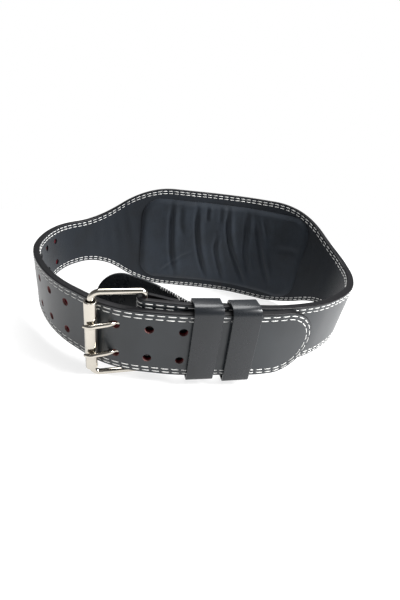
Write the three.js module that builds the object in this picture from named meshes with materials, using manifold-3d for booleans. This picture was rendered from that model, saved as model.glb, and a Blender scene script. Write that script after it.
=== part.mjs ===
import * as THREE from 'three';
import { mergeVertices } from 'three/addons/utils/BufferGeometryUtils.js';
import Module from 'manifold-3d';

// A leather weightlifting belt, buckled into a loop and standing on its lower edges.
// Millimetres. The belt is drawn in a frame of its own: X runs along the front, from the
// buckle towards the free end, Y goes back to the wide lumbar part, and Z runs across the
// belt, with zero on the strap's middle line. Depth is measured outwards from the outer
// face of the belt, so every ply lies at a depth below zero. A station is a length along
// the belt from the buckle's bar, once round the loop and on to the tip of the free end.

// Plan of the fastened belt, over its outer face
const LOOP_LENGTH = 357;
const LOOP_DEPTH = 241;
const BUCKLE_STATION = -65.5;
const LOOP_STEPS = 80;

// Knots of the plan as shares of half the length and half the depth, from the middle of
// the front round by the right-hand side
const PLAN_KNOTS = [
  { right: 0.0, back: -0.998 },
  { right: 0.271, back: -0.969 },
  { right: 0.559, back: -0.827 },
  { right: 0.834, back: -0.512 },
  { right: 0.989, back: 0.0 },
  { right: 0.856, back: 0.525 },
  { right: 0.553, back: 0.82 },
  { right: 0.26, back: 0.935 },
  { right: 0.0, back: 0.972 },
  { right: -0.278, back: 0.996 },
  { right: -0.628, back: 0.93 },
  { right: -0.936, back: 0.574 },
  { right: -1.0, back: 0.0 },
  { right: -0.855, back: -0.525 },
  { right: -0.596, back: -0.882 },
  { right: -0.277, back: -0.992 },
];

// Width of the belt
const STRAP_WIDTH = 58;
const BACK_WIDTH = 152;
const BACK_STRAIGHT = 142;
const TAPER_LENGTH = 141;
const TAPER_TURN = 0.47;

// Plies, from the outer face inwards
const OUTER_PLY = 2.0;
const CORE_PLY = 1.6;
const LINING_PLY = 1.8;
const PLY_GAP = 0.3;

// Free end, which passes behind the roller and lies over the buckle's end of the belt
const TONGUE_LENGTH = 144;
const TONGUE_RAMP = 63;
const OVERLAP_GAP = 0.5;
const TIP_WIDTH = 63;
const WIDENING_START = -15;
const WIDENING_RUN = 130;
const TIP_ANGLES = [0, 15, 30, 45, 58, 70, 78, 84];

// Holes
const HOLE_PAIRS = 11;
const HOLE_PITCH = 25.4;
const HOLE_DIAMETER = 7;
const HOLE_ROW_SPACING = 27.6;
const FIRST_HOLE = 31;
const HOLE_SIDES = 12;
const PRONG_PAIR = 2;

// Fold of the buckle's end round the bar, which rides high in the buckle
const FOLD_RETURN = 26;
const FOLD_LIFT = 5.8;
const FOLD_LIFT_RUN = 220;
const FOLD_ARC_STEPS = 8;
const FOLD_RETURN_STEPS = 5;

// Shield flap behind the buckle
const LINING_START = 53;
const FLAP_THICKNESS = 2.0;
const FLAP_REACH = 77;
const FLAP_CLEAR = 2.5;
const FLAP_SET_IN = 47;
const FLAP_START_HANDLE = 4;
const FLAP_END_HANDLE = 44;
const FLAP_STEPS = 12;

// Lumbar pad, which sits a little off the middle of the back
const PAD_SHIFT = -8;
const PAD_LENGTH = 248;
const PAD_HEIGHT = 124;
const PAD_THICKNESS = 4.5;
const PAD_CORNER = 28;
const PAD_EDGE = 9;

// Crown of the pad: shares of the edge band, from the rim inwards, and of the thickness
const PAD_CROWN = [
  { inset: 0.0, rise: 0.18 },
  { inset: 0.45, rise: 0.72 },
  { inset: 1.0, rise: 1.0 },
];

// Keeper loops: the lean in degrees of each, and the slack below the strap as a share
const KEEPERS = [
  { lean: -1.5, slack: 0.2 },
  { lean: -3.2, slack: 0.5 },
];
const FIRST_KEEPER = 48;
const KEEPER_SPACING = 30.6;
const KEEPER_WIDTH = 22.6;
const KEEPER_THICKNESS = 2.0;
const KEEPER_CLEARANCE = 0.8;
const KEEPER_TOP_CLEARANCE = 1.0;
const KEEPER_SLACK = 4;
const KEEPER_CORNER = 1.4;
const KEEPER_SHOULDER = 5;

// Buckle: sizes of the frame are between the middles of its wire
const FRAME_LENGTH = 40.4;
const FRAME_HEIGHT = 77.6;
const FRAME_RISE = 0.8;
const FRAME_WIRE = 4.8;
const BAR_CORNER = 4;
const ROLLER_CORNER = 7;
const METAL_GAP = 0.3;
const ROLLER_DIAMETER = 10;
const ROLLER_WALL = 1.4;
const ROLLER_CLEARANCE = 0.5;
const PRONG_WIRE = 4;
const PRONG_TIP = 3.5;
const WIRE_SIDES = 10;
const PRONG_SIDES = 8;
const PRONG_STEPS = 26;
const ROLLER_SIDES = 20;

// Flats that the leather takes where the back stands on the floor
const REST_FLAT = 1.0;

// Station where the flap leaves the belt, clear of the first keeper
const FLAP_LEAVES = FIRST_KEEPER - KEEPER_WIDTH / 2 - FLAP_CLEAR;

// Depths of the plies and of the bar
const CORE_DEPTH = -(OUTER_PLY + PLY_GAP);
const CORE_INSIDE = CORE_DEPTH - CORE_PLY;
const LINING_DEPTH = CORE_INSIDE - PLY_GAP;
const BELT_THICKNESS = -LINING_DEPTH + LINING_PLY;
const BAR_DEPTH = CORE_INSIDE - METAL_GAP - FRAME_WIRE / 2;
const TONGUE_SHIFT = BELT_THICKNESS + OVERLAP_GAP;

const UP = new THREE.Vector3(0, 0, 1);

const wasm = await Module();
wasm.setup();

function ease(x) {
  return THREE.MathUtils.smoothstep(x, 0, 1);
}

// The plan curve, and the point, direction and outward side at a station
function makePlan() {
  const knots = PLAN_KNOTS.map(
    (knot) => new THREE.Vector3(knot.right * LOOP_LENGTH / 2, knot.back * LOOP_DEPTH / 2, 0),
  );
  const curve = new THREE.CatmullRomCurve3(knots, true, 'catmullrom', 0.5);
  curve.arcLengthDivisions = 1600;
  return curve;
}

const plan = makePlan();
const LOOP = plan.getLength();
const STEP = LOOP / LOOP_STEPS;
const BACK_CENTRE = LOOP / 2;
const PAD_CENTRE = BACK_CENTRE + PAD_SHIFT;

function frameAt(station) {
  const share = THREE.MathUtils.euclideanModulo((BUCKLE_STATION + station) / LOOP, 1);
  const along = plan.getTangentAt(share);
  return {
    point: plan.getPointAt(share),
    along,
    out: new THREE.Vector3(along.y, -along.x, 0),
  };
}

// Half the belt's width: straight at the back, then a convex and a concave curve. The free
// end widens again towards its tip.
function halfWidth(station) {
  const away = Math.abs(station - BACK_CENTRE) - BACK_STRAIGHT / 2;
  const x = THREE.MathUtils.clamp(1 - away / TAPER_LENGTH, 0, 1);
  const concave = x * x / TAPER_TURN;
  const convex = 1 - (1 - x) * (1 - x) / (1 - TAPER_TURN);
  const share = x < TAPER_TURN ? concave : convex;
  const widened = THREE.MathUtils.clamp((station - LOOP - WIDENING_START) / WIDENING_RUN, 0, 1);
  return (STRAP_WIDTH + (BACK_WIDTH - STRAP_WIDTH) * share + (TIP_WIDTH - STRAP_WIDTH) * widened) / 2;
}

// How far the free end stands outwards, and how far the buckle's end rides upwards
function tongueShift(station) {
  return TONGUE_SHIFT * ease((station - LOOP) / TONGUE_RAMP + 1);
}

function strapLift(station) {
  return FOLD_LIFT * (1 - ease(station / FOLD_LIFT_RUN));
}

function placeAt(station, depth, height) {
  const { point, out } = frameAt(station);
  return point.addScaledVector(out, tongueShift(station) + depth).setZ(height);
}

// A section answers with the point at a depth and at a share of the half width
function bodySection(station, half = halfWidth(station)) {
  return (depth, across) => placeAt(station, depth, strapLift(station) + across * half);
}

// Sections of the fold: back along the inside of the belt, then round the bar
function foldSections() {
  const sections = [];
  const closedDepth = CORE_INSIDE - PLY_GAP / 2;
  for (let i = 0; i < FOLD_RETURN_STEPS; i += 1) {
    const station = FOLD_RETURN * (1 - i / FOLD_RETURN_STEPS);
    const middle = THREE.MathUtils.lerp(BAR_DEPTH, closedDepth, ease(station / FOLD_RETURN));
    const near = bodySection(station);
    sections.push((depth, across) => near(2 * middle - depth, across));
  }
  const { point, along, out } = frameAt(0);
  for (let i = 0; i < FOLD_ARC_STEPS; i += 1) {
    const angle = Math.PI * (1 - i / FOLD_ARC_STEPS);
    const side = out.clone().multiplyScalar(Math.cos(angle)).addScaledVector(along, -Math.sin(angle));
    sections.push((depth, across) => point.clone()
      .addScaledVector(out, BAR_DEPTH)
      .addScaledVector(side, depth - BAR_DEPTH)
      .setZ(strapLift(0) + across * STRAP_WIDTH / 2));
  }
  return sections;
}

// Sections from a station to the round tip of the free end
function bodySections(start) {
  const sections = [bodySection(start)];
  const tipRadius = TIP_WIDTH / 2;
  const tipCentre = LOOP + TONGUE_LENGTH - tipRadius;
  for (let i = Math.floor(start / STEP) + 1; i * STEP < tipCentre - STEP / 3; i += 1) {
    if (i * STEP > start + STEP / 3) {
      sections.push(bodySection(i * STEP));
    }
  }
  for (const degrees of TIP_ANGLES) {
    const angle = THREE.MathUtils.degToRad(degrees);
    const station = tipCentre + tipRadius * Math.sin(angle);
    sections.push(bodySection(station, tipRadius * Math.cos(angle)));
  }
  return sections;
}

// A closed skin over rings with the same number of points, capped at both ends or joined
function skin(rings, joined = false) {
  const count = rings[0].length;
  const triangles = [];
  const spans = joined ? rings.length : rings.length - 1;
  for (let i = 0; i < spans; i += 1) {
    for (let j = 0; j < count; j += 1) {
      const a = i * count + j;
      const b = i * count + (j + 1) % count;
      const c = ((i + 1) % rings.length) * count + (j + 1) % count;
      const d = ((i + 1) % rings.length) * count + j;
      triangles.push(a, b, c, a, c, d);
    }
  }
  if (!joined) {
    const last = (rings.length - 1) * count;
    for (let j = 1; j < count - 1; j += 1) {
      triangles.push(0, j + 1, j, last, last + j, last + j + 1);
    }
  }
  const geometry = new THREE.BufferGeometry().setFromPoints(rings.flat());
  geometry.setIndex(triangles);
  return facingOut(geometry);
}

// Turns every triangle round when the skin encloses a negative volume
function facingOut(geometry) {
  const { position } = geometry.attributes;
  const index = geometry.index.array;
  const [a, b, c] = [new THREE.Vector3(), new THREE.Vector3(), new THREE.Vector3()];
  let volume = 0;
  for (let i = 0; i < index.length; i += 3) {
    a.fromBufferAttribute(position, index[i]);
    b.fromBufferAttribute(position, index[i + 1]);
    c.fromBufferAttribute(position, index[i + 2]);
    volume += a.dot(b.cross(c));
  }
  if (volume < 0) {
    for (let i = 0; i < index.length; i += 3) {
      [index[i + 1], index[i + 2]] = [index[i + 2], index[i + 1]];
    }
  }
  return geometry;
}

// Solids for cutting, and the geometry of the result
function toSolid(geometry, matrix = new THREE.Matrix4()) {
  const bare = geometry.clone().applyMatrix4(matrix);
  bare.deleteAttribute('normal');
  bare.deleteAttribute('uv');
  const merged = mergeVertices(bare, 1e-4);
  return new wasm.Manifold(new wasm.Mesh({
    numProp: 3,
    vertProperties: new Float32Array(merged.attributes.position.array),
    triVerts: new Uint32Array(merged.index.array),
  }));
}

function toGeometry(solid) {
  const mesh = solid.getMesh();
  const geometry = new THREE.BufferGeometry();
  geometry.setAttribute('position', new THREE.BufferAttribute(mesh.vertProperties, 3));
  geometry.setIndex(new THREE.BufferAttribute(mesh.triVerts, 1));
  return geometry;
}

function join(solids) {
  return solids.reduce((whole, solid) => whole.add(solid));
}

// One ply of the belt between two depths
function ply(sections, outer, inner) {
  return skin(sections.map((at) => [at(inner, -1), at(outer, -1), at(outer, 1), at(inner, 1)]));
}

// A wire along a flat path of points in the X-Y plane
function wire(points, diameter, sides, joined) {
  const count = points.length;
  const rings = points.map((point, i) => {
    const before = points[joined ? (i + count - 1) % count : Math.max(i - 1, 0)];
    const after = points[joined ? (i + 1) % count : Math.min(i + 1, count - 1)];
    const along = after.clone().sub(before).normalize();
    const side = new THREE.Vector3(along.y, -along.x, 0);
    const ring = [];
    for (let j = 0; j < sides; j += 1) {
      const angle = 2 * Math.PI * (j + 0.5) / sides;
      const offset = side.clone().multiplyScalar(Math.cos(angle)).addScaledVector(UP, Math.sin(angle));
      ring.push(point.clone().addScaledVector(offset, diameter / 2));
    }
    return ring;
  });
  return skin(rings, joined);
}

// Where the frame stands: hinged on the bar, its roller resting on the free end
function barPoint() {
  return placeAt(0, BAR_DEPTH, 0);
}

function frameDirection(angle) {
  const { along, out } = frameAt(0);
  return along.multiplyScalar(-Math.cos(angle)).addScaledVector(out, Math.sin(angle));
}

function rollerRoom(angle) {
  const roller = barPoint().addScaledVector(frameDirection(angle), FRAME_LENGTH);
  let nearest = Infinity;
  for (let back = 0; back < 2 * FRAME_LENGTH; back += 0.5) {
    nearest = Math.min(nearest, roller.distanceTo(placeAt(LOOP - back, 0, 0)));
  }
  const { out } = frameAt(-FRAME_LENGTH);
  const outside = roller.clone().sub(placeAt(LOOP - FRAME_LENGTH, 0, 0)).dot(out) > 0;
  const room = nearest - ROLLER_DIAMETER / 2 - ROLLER_CLEARANCE;
  return outside ? room : -nearest;
}

function settleFrame() {
  let low = 0;
  let high = Math.PI / 4;
  for (let i = 0; i < 30; i += 1) {
    const middle = (low + high) / 2;
    if (rollerRoom(middle) < 0) {
      low = middle;
    } else {
      high = middle;
    }
  }
  return high;
}

const FRAME_ANGLE = settleFrame();

// Axes of the buckle: X from the bar to the roller, Y down, Z outwards from the belt
function buckleMatrix() {
  const toRoller = frameDirection(FRAME_ANGLE);
  const down = UP.clone().negate();
  const outward = new THREE.Vector3().crossVectors(toRoller, down);
  return new THREE.Matrix4().makeBasis(toRoller, down, outward).setPosition(barPoint().setZ(FRAME_RISE));
}

function frameGeometry() {
  const half = FRAME_HEIGHT / 2;
  const far = FRAME_LENGTH;
  const outline = new THREE.Path();
  outline.moveTo(0, 0);
  outline.lineTo(0, half - BAR_CORNER);
  outline.absarc(BAR_CORNER, half - BAR_CORNER, BAR_CORNER, Math.PI, Math.PI / 2, true);
  outline.lineTo(far - ROLLER_CORNER, half);
  outline.absarc(far - ROLLER_CORNER, half - ROLLER_CORNER, ROLLER_CORNER, Math.PI / 2, 0, true);
  outline.lineTo(far, ROLLER_CORNER - half);
  outline.absarc(far - ROLLER_CORNER, ROLLER_CORNER - half, ROLLER_CORNER, 0, -Math.PI / 2, true);
  outline.lineTo(BAR_CORNER, -half);
  outline.absarc(BAR_CORNER, BAR_CORNER - half, BAR_CORNER, -Math.PI / 2, -Math.PI, true);
  const points = outline.getPoints(3).map((point) => new THREE.Vector3(point.x, point.y, 0));
  return wire(points, FRAME_WIRE, WIRE_SIDES, true);
}

function rollerGeometry() {
  const half = FRAME_HEIGHT / 2 - ROLLER_CORNER - METAL_GAP;
  const outer = ROLLER_DIAMETER / 2;
  const inner = outer - ROLLER_WALL;
  const edge = ROLLER_WALL / 3;
  const profile = [
    new THREE.Vector2(inner, -half),
    new THREE.Vector2(outer - edge, -half),
    new THREE.Vector2(outer, edge - half),
    new THREE.Vector2(outer, half - edge),
    new THREE.Vector2(outer - edge, half),
    new THREE.Vector2(inner, half),
    new THREE.Vector2(inner, -half),
  ];
  return new THREE.LatheGeometry(profile, ROLLER_SIDES);
}

// Path of a prong in the buckle's section: from the eye round the bar, through the hole
// in the free end and over the roller. X goes from the bar to the roller, Y outwards.
function prongPath() {
  const points = [];
  const eye = FRAME_WIRE / 2 + METAL_GAP + PRONG_WIRE / 2;
  for (let degrees = 290; degrees >= 90; degrees -= 25) {
    const angle = THREE.MathUtils.degToRad(degrees);
    points.push(new THREE.Vector3(eye * Math.cos(angle), eye * Math.sin(angle), 0));
  }
  const hole = toBuckle(placeAt(LOOP + FIRST_HOLE - PRONG_PAIR * HOLE_PITCH, -BELT_THICKNESS / 2, 0));
  const reach = ROLLER_DIAMETER / 2 + METAL_GAP + PRONG_WIRE / 2;
  points.push(new THREE.Vector3(hole.x * 0.45, eye * 0.72, 0));
  points.push(new THREE.Vector3(hole.x * 0.8, eye * 0.62 + hole.y * 0.1, 0));
  points.push(new THREE.Vector3(hole.x, hole.y, 0));
  points.push(new THREE.Vector3((hole.x * 2 + FRAME_LENGTH) / 3, (hole.y * 1.5 + reach) / 2.2, 0));
  for (let degrees = 115; degrees >= 75; degrees -= 20) {
    const angle = THREE.MathUtils.degToRad(degrees);
    points.push(new THREE.Vector3(FRAME_LENGTH + reach * Math.cos(angle), reach * Math.sin(angle), 0));
  }
  const last = points[points.length - 1];
  points.push(new THREE.Vector3(last.x + PRONG_TIP, last.y - PRONG_TIP * 0.4, 0));
  return new THREE.CatmullRomCurve3(points).getPoints(PRONG_STEPS);
}

function toBuckle(point) {
  const local = point.clone().applyMatrix4(buckleMatrix().invert());
  return new THREE.Vector3(local.x, local.z, 0);
}

// Places a prong drawn in its own section at a height across the belt
function prongMatrix(height) {
  const turn = new THREE.Matrix4().makeRotationX(Math.PI / 2);
  return buckleMatrix().multiply(new THREE.Matrix4().makeTranslation(0, FRAME_RISE - height, 0)).multiply(turn);
}

// Cutters
function holeCutters() {
  const cutters = [];
  const length = BELT_THICKNESS + OVERLAP_GAP;
  for (let pair = 0; pair < HOLE_PAIRS; pair += 1) {
    const station = LOOP + FIRST_HOLE - pair * HOLE_PITCH;
    const { out } = frameAt(station);
    const drill = new THREE.CylinderGeometry(
      HOLE_DIAMETER / 2, HOLE_DIAMETER / 2, 2 * length, HOLE_SIDES,
    );
    const turn = new THREE.Quaternion().setFromUnitVectors(new THREE.Vector3(0, 1, 0), out);
    for (const side of [-1, 1]) {
      const middle = placeAt(station, length - BELT_THICKNESS - OVERLAP_GAP / 2, side * HOLE_ROW_SPACING / 2);
      cutters.push(toSolid(drill, new THREE.Matrix4().compose(middle, turn, new THREE.Vector3(1, 1, 1))));
    }
  }
  return cutters;
}

// Room for the prongs in the holes they pass, and slots in the fold for their eyes
function prongCutters() {
  const cutters = [];
  const room = wire(prongPath(), PRONG_WIRE + 3 * METAL_GAP, PRONG_SIDES, false);
  const reach = FRAME_WIRE / 2 + METAL_GAP + PRONG_WIRE + 2 * METAL_GAP;
  const slot = new THREE.BoxGeometry(2 * reach, PRONG_WIRE + 4 * METAL_GAP, 2 * reach + METAL_GAP);
  for (const side of [-1, 1]) {
    const height = side * HOLE_ROW_SPACING / 2;
    cutters.push(toSolid(room, prongMatrix(height)));
    const { along, out } = frameAt(0);
    const turn = new THREE.Matrix4().makeBasis(along, UP, out);
    turn.setPosition(barPoint().setZ(height));
    cutters.push(toSolid(slot, turn));
  }
  return cutters;
}

// Each ply with its holes and the flats that it stands on
function cutPly(sections, outer, inner, cutters) {
  return toGeometry(toSolid(ply(sections, outer, inner)).subtract(cutters));
}

// Shield flap: leaves the belt beside the first keeper and stands inwards
function flapGeometry() {
  const centreDepth = LINING_DEPTH - FLAP_THICKNESS / 2;
  const root = placeAt(LINING_START - PLY_GAP, centreDepth, 0);
  const leave = placeAt(FLAP_LEAVES, centreDepth, 0);
  const { along, out } = frameAt(FLAP_LEAVES);
  const tip = leave.clone().addScaledVector(along, -FLAP_REACH).addScaledVector(out, -FLAP_SET_IN);
  const curve = new THREE.CubicBezierCurve3(
    leave,
    leave.clone().addScaledVector(along, -FLAP_START_HANDLE),
    tip.clone().addScaledVector(along, FLAP_END_HANDLE),
    tip,
  );
  const length = curve.getLength();
  const radius = STRAP_WIDTH / 2;
  const stops = [];
  for (let i = 0; i < FLAP_STEPS; i += 1) {
    stops.push({ share: i / FLAP_STEPS * (1 - radius / length), half: radius });
  }
  for (const degrees of TIP_ANGLES) {
    const angle = THREE.MathUtils.degToRad(degrees);
    stops.push({ share: 1 - radius * (1 - Math.sin(angle)) / length, half: radius * Math.cos(angle) });
  }
  const lift = strapLift(FLAP_LEAVES);
  const rings = [flapRing(root, frameAt(LINING_START).along, radius, lift)];
  for (const { share, half } of stops) {
    rings.push(flapRing(curve.getPointAt(share), curve.getTangentAt(share).negate(), half, lift));
  }
  return skin(rings);
}

function flapRing(point, along, half, lift) {
  const side = new THREE.Vector3(along.y, -along.x, 0).multiplyScalar(FLAP_THICKNESS / 2);
  return [[-1, -1], [1, -1], [1, 1], [-1, 1]].map(
    ([out, up]) => point.clone().addScaledVector(side, out).setZ(lift + up * half),
  );
}

// Lumbar pad: a crowned cushion with round corners on the lining
function padGeometry() {
  const base = -BELT_THICKNESS - PLY_GAP;
  const reach = PAD_LENGTH / 2;
  const first = Math.ceil((PAD_CENTRE - reach + PAD_CORNER) / STEP);
  const last = Math.floor((PAD_CENTRE + reach - PAD_CORNER) / STEP);
  const stops = [];
  for (const degrees of [6, 18, 32, 48, 65, 84]) {
    stops.push(PAD_CORNER * (1 - Math.cos(THREE.MathUtils.degToRad(degrees))) - reach);
  }
  for (let i = first; i <= last; i += 1) {
    stops.push(i * STEP - PAD_CENTRE);
  }
  for (const degrees of [84, 65, 48, 32, 18, 6]) {
    stops.push(reach - PAD_CORNER * (1 - Math.cos(THREE.MathUtils.degToRad(degrees))));
  }
  return skin(stops.map((stop) => padRing(stop, base)));
}

function padRing(stop, base) {
  const toEnd = PAD_LENGTH / 2 - Math.abs(stop);
  const cut = Math.max(0, PAD_CORNER - toEnd);
  const half = PAD_HEIGHT / 2 - PAD_CORNER + Math.sqrt(PAD_CORNER ** 2 - cut ** 2);
  const fade = ease(0.25 + 0.75 * toEnd / PAD_EDGE);
  const station = PAD_CENTRE + stop;
  const ring = [placeAt(station, base, -half), placeAt(station, base, half)];
  for (const side of [1, -1]) {
    const crown = side > 0 ? PAD_CROWN : [...PAD_CROWN].reverse();
    for (const { inset, rise } of crown) {
      const depth = base - Math.max(PLY_GAP, PAD_THICKNESS * rise * fade);
      ring.push(placeAt(station, depth, side * (half - inset * PAD_EDGE)));
    }
  }
  return ring;
}

// Keeper: a flat leather band round both layers of strap, with a round outer shoulder
function keeperOutline(path, left, right, low, high, radius, shoulder) {
  path.moveTo(left + radius, low);
  path.lineTo(right - radius, low);
  path.absarc(right - radius, low + radius, radius, -Math.PI / 2, 0, false);
  path.lineTo(right, high - shoulder);
  path.absarc(right - shoulder, high - shoulder, shoulder, 0, Math.PI / 2, false);
  path.lineTo(left + radius, high);
  path.absarc(left + radius, high - radius, radius, Math.PI / 2, Math.PI, false);
  path.lineTo(left, low + radius);
  path.absarc(left + radius, low + radius, radius, Math.PI, 1.5 * Math.PI, false);
  return path;
}

function keeperStation(order) {
  return FIRST_KEEPER + order * KEEPER_SPACING;
}

function keeperGeometry(station, lean, slack) {
  const wall = KEEPER_THICKNESS;
  const tilted = KEEPER_WIDTH / 2 * Math.abs(Math.sin(THREE.MathUtils.degToRad(lean)));
  const left = -BELT_THICKNESS - KEEPER_CLEARANCE;
  const right = TONGUE_SHIFT + KEEPER_CLEARANCE;
  const low = -halfWidth(LOOP + station) - METAL_GAP - tilted - KEEPER_SLACK * slack;
  const high = halfWidth(station) + strapLift(station) + KEEPER_TOP_CLEARANCE + tilted;
  const outline = keeperOutline(
    new THREE.Shape(), left - wall, right + wall, low - wall, high + wall,
    KEEPER_CORNER + wall, KEEPER_SHOULDER + wall,
  );
  outline.holes.push(keeperOutline(
    new THREE.Path(), left, right, low, high, KEEPER_CORNER, KEEPER_SHOULDER,
  ));
  const geometry = new THREE.ExtrudeGeometry(outline, {
    depth: KEEPER_WIDTH,
    bevelEnabled: false,
    curveSegments: 4,
  });
  return geometry.translate(0, 0, -KEEPER_WIDTH / 2);
}

function keeperMatrix(station, lean) {
  const { point, along, out } = frameAt(station);
  const turned = UP.clone().applyAxisAngle(out, THREE.MathUtils.degToRad(-lean));
  const across = new THREE.Vector3().crossVectors(out, turned);
  return new THREE.Matrix4().makeBasis(out, turned, across).setPosition(point);
}

// The plane that the belt stands on, through its three lowest feet: the wide back's lower
// edge on either side of its middle, and the buckle's lower arm
function settle(leather, metal) {
  const middle = frameAt(BACK_CENTRE).point;
  const feet = [
    { points: leather, holds: (p) => p.y > 0 && p.x < middle.x, sink: REST_FLAT },
    { points: leather, holds: (p) => p.y > 0 && p.x > middle.x, sink: REST_FLAT },
    { points: metal, holds: () => true, sink: 0 },
  ];
  const plane = new THREE.Plane(UP.clone(), 0);
  for (let i = 0; i < 8; i += 1) {
    const [a, b, c] = feet.map((foot) => {
      const lowest = foot.points.filter(foot.holds)
        .reduce((best, p) => (p.dot(plane.normal) < best.dot(plane.normal) ? p : best));
      return lowest.clone().addScaledVector(plane.normal, foot.sink);
    });
    plane.setFromCoplanarPoints(a, b, c);
    if (plane.normal.z < 0) {
      plane.negate();
    }
  }
  return plane;
}

function pointsOf(geometry, matrix = new THREE.Matrix4()) {
  const { position } = geometry.attributes;
  return Array.from({ length: position.count }, (_, i) => (
    new THREE.Vector3().fromBufferAttribute(position, i).applyMatrix4(matrix)
  ));
}

function floorCutter(plane) {
  const size = 3 * LOOP_LENGTH;
  const block = new THREE.BoxGeometry(size, size, LOOP_LENGTH).translate(0, 0, -LOOP_LENGTH / 2);
  const turn = new THREE.Quaternion().setFromUnitVectors(UP, plane.normal);
  const foot = plane.normal.clone().multiplyScalar(-plane.constant);
  return toSolid(block, new THREE.Matrix4().compose(foot, turn, new THREE.Vector3(1, 1, 1)));
}

// Materials
const blackLeather = new THREE.MeshStandardMaterial({ color: 0x3b3d40, roughness: 0.45, metalness: 0 });
const redCore = new THREE.MeshStandardMaterial({ color: 0x5a1f26, roughness: 0.9, metalness: 0 });
const navyLining = new THREE.MeshStandardMaterial({ color: 0x262d36, roughness: 0.75, metalness: 0 });
const navyPad = new THREE.MeshStandardMaterial({ color: 0x313a45, roughness: 0.75, metalness: 0 });
const smoothBlack = new THREE.MeshStandardMaterial({ color: 0x1d1e22, roughness: 0.5, metalness: 0 });
const nickel = new THREE.MeshStandardMaterial({ color: 0xd8d2c6, roughness: 0.2, metalness: 1 });

function named(name, geometry, material, matrix = null) {
  const mesh = new THREE.Mesh(geometry, material);
  mesh.name = name;
  if (matrix) {
    matrix.decompose(mesh.position, mesh.quaternion, mesh.scale);
  }
  return mesh;
}

function makeBelt() {
  const wrapped = [...foldSections(), ...bodySections(0)];
  const linedOnly = bodySections(LINING_START);
  const frame = frameGeometry();
  const lowPoints = pointsOf(ply(linedOnly, 0, -BELT_THICKNESS));
  const floor = settle(lowPoints, pointsOf(frame, buckleMatrix()));
  const cutters = join([...holeCutters(), ...prongCutters(), floorCutter(floor)]);

  const belt = new THREE.Group();
  belt.add(
    named('belt_outer_leather', cutPly(wrapped, 0, -OUTER_PLY, cutters), blackLeather),
    named('belt_core', cutPly(wrapped, CORE_DEPTH, CORE_INSIDE, cutters), redCore),
    named('belt_lining', cutPly(linedOnly, LINING_DEPTH, -BELT_THICKNESS, cutters), navyLining),
    named('lumbar_pad', padGeometry(), navyPad),
    named('shield_flap', flapGeometry(), smoothBlack),
    named('buckle_frame', frame, nickel, buckleMatrix()),
  );
  const rollerPlace = buckleMatrix().multiply(new THREE.Matrix4().makeTranslation(FRAME_LENGTH, 0, 0));
  belt.add(named('buckle_roller', rollerGeometry(), nickel, rollerPlace));
  for (const [name, side] of [['prong_upper', 1], ['prong_lower', -1]]) {
    const prong = wire(prongPath(), PRONG_WIRE, PRONG_SIDES, false);
    belt.add(named(name, prong, nickel, prongMatrix(side * HOLE_ROW_SPACING / 2)));
  }
  KEEPERS.forEach(({ lean, slack }, i) => {
    const station = keeperStation(i);
    const keeper = keeperGeometry(station, lean, slack);
    belt.add(named(`keeper_${i + 1}`, keeper, smoothBlack, keeperMatrix(station, lean)));
  });

  belt.quaternion.setFromUnitVectors(floor.normal, UP);
  belt.position.copy(floor.normal).multiplyScalar(floor.constant).applyQuaternion(belt.quaternion);
  return belt;
}

// Stands the belt over the origin, with the middle of its box on the Z axis
function standOverOrigin(belt) {
  const stand = new THREE.Group();
  stand.add(belt);
  stand.updateMatrixWorld(true);
  const box = new THREE.Box3().setFromObject(stand, true);
  const centre = box.getCenter(new THREE.Vector3());
  belt.position.x -= centre.x;
  belt.position.y -= centre.y;
  belt.position.z -= box.min.z;
  stand.updateMatrixWorld(true);
  return stand;
}

export default standOverOrigin(makeBelt());
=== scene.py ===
"""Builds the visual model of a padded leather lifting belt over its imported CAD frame."""

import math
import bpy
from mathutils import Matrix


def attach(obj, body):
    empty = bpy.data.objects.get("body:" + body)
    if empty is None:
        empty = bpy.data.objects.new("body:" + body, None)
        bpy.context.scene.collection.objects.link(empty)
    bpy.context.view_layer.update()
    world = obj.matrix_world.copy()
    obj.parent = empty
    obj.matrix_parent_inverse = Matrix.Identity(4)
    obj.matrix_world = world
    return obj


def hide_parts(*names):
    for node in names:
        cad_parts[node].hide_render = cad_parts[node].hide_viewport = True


bl_info = {
    "name": "Weightlifting Belt",
    "version": (1, 0, 0),
    "blender": (4, 5, 0),
    "location": "View3D > Sidebar > Lifting Belt",
    "description": "Buckled lifting belt with its plies, stitches, pad, keepers, roller buckle and stage",
    "category": "Add Mesh",
}

import bmesh
import bpy
import numpy as np
from bpy.props import FloatProperty, FloatVectorProperty, PointerProperty
from mathutils import Matrix, Quaternion, Vector

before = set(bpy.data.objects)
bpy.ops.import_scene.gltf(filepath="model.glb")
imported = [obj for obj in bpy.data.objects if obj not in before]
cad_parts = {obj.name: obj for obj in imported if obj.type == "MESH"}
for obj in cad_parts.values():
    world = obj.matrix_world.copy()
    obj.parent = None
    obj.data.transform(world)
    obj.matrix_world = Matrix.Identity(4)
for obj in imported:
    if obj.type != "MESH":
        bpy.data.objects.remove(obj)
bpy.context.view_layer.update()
MM = 0.001

# The belt is drawn as in the CAD: a run is a length along the belt from the buckle's bar,
# once round the loop and on to the tip, a depth is measured outwards from the outer face,
# and a height is measured across the belt. This stands the drawing on the floor.
STAND_TURN = Quaternion((0.997424, 0.070108, -0.015179, 0.0))
STAND_PLACE = Vector((1.310, 2.010, 59.029)) * MM

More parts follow.
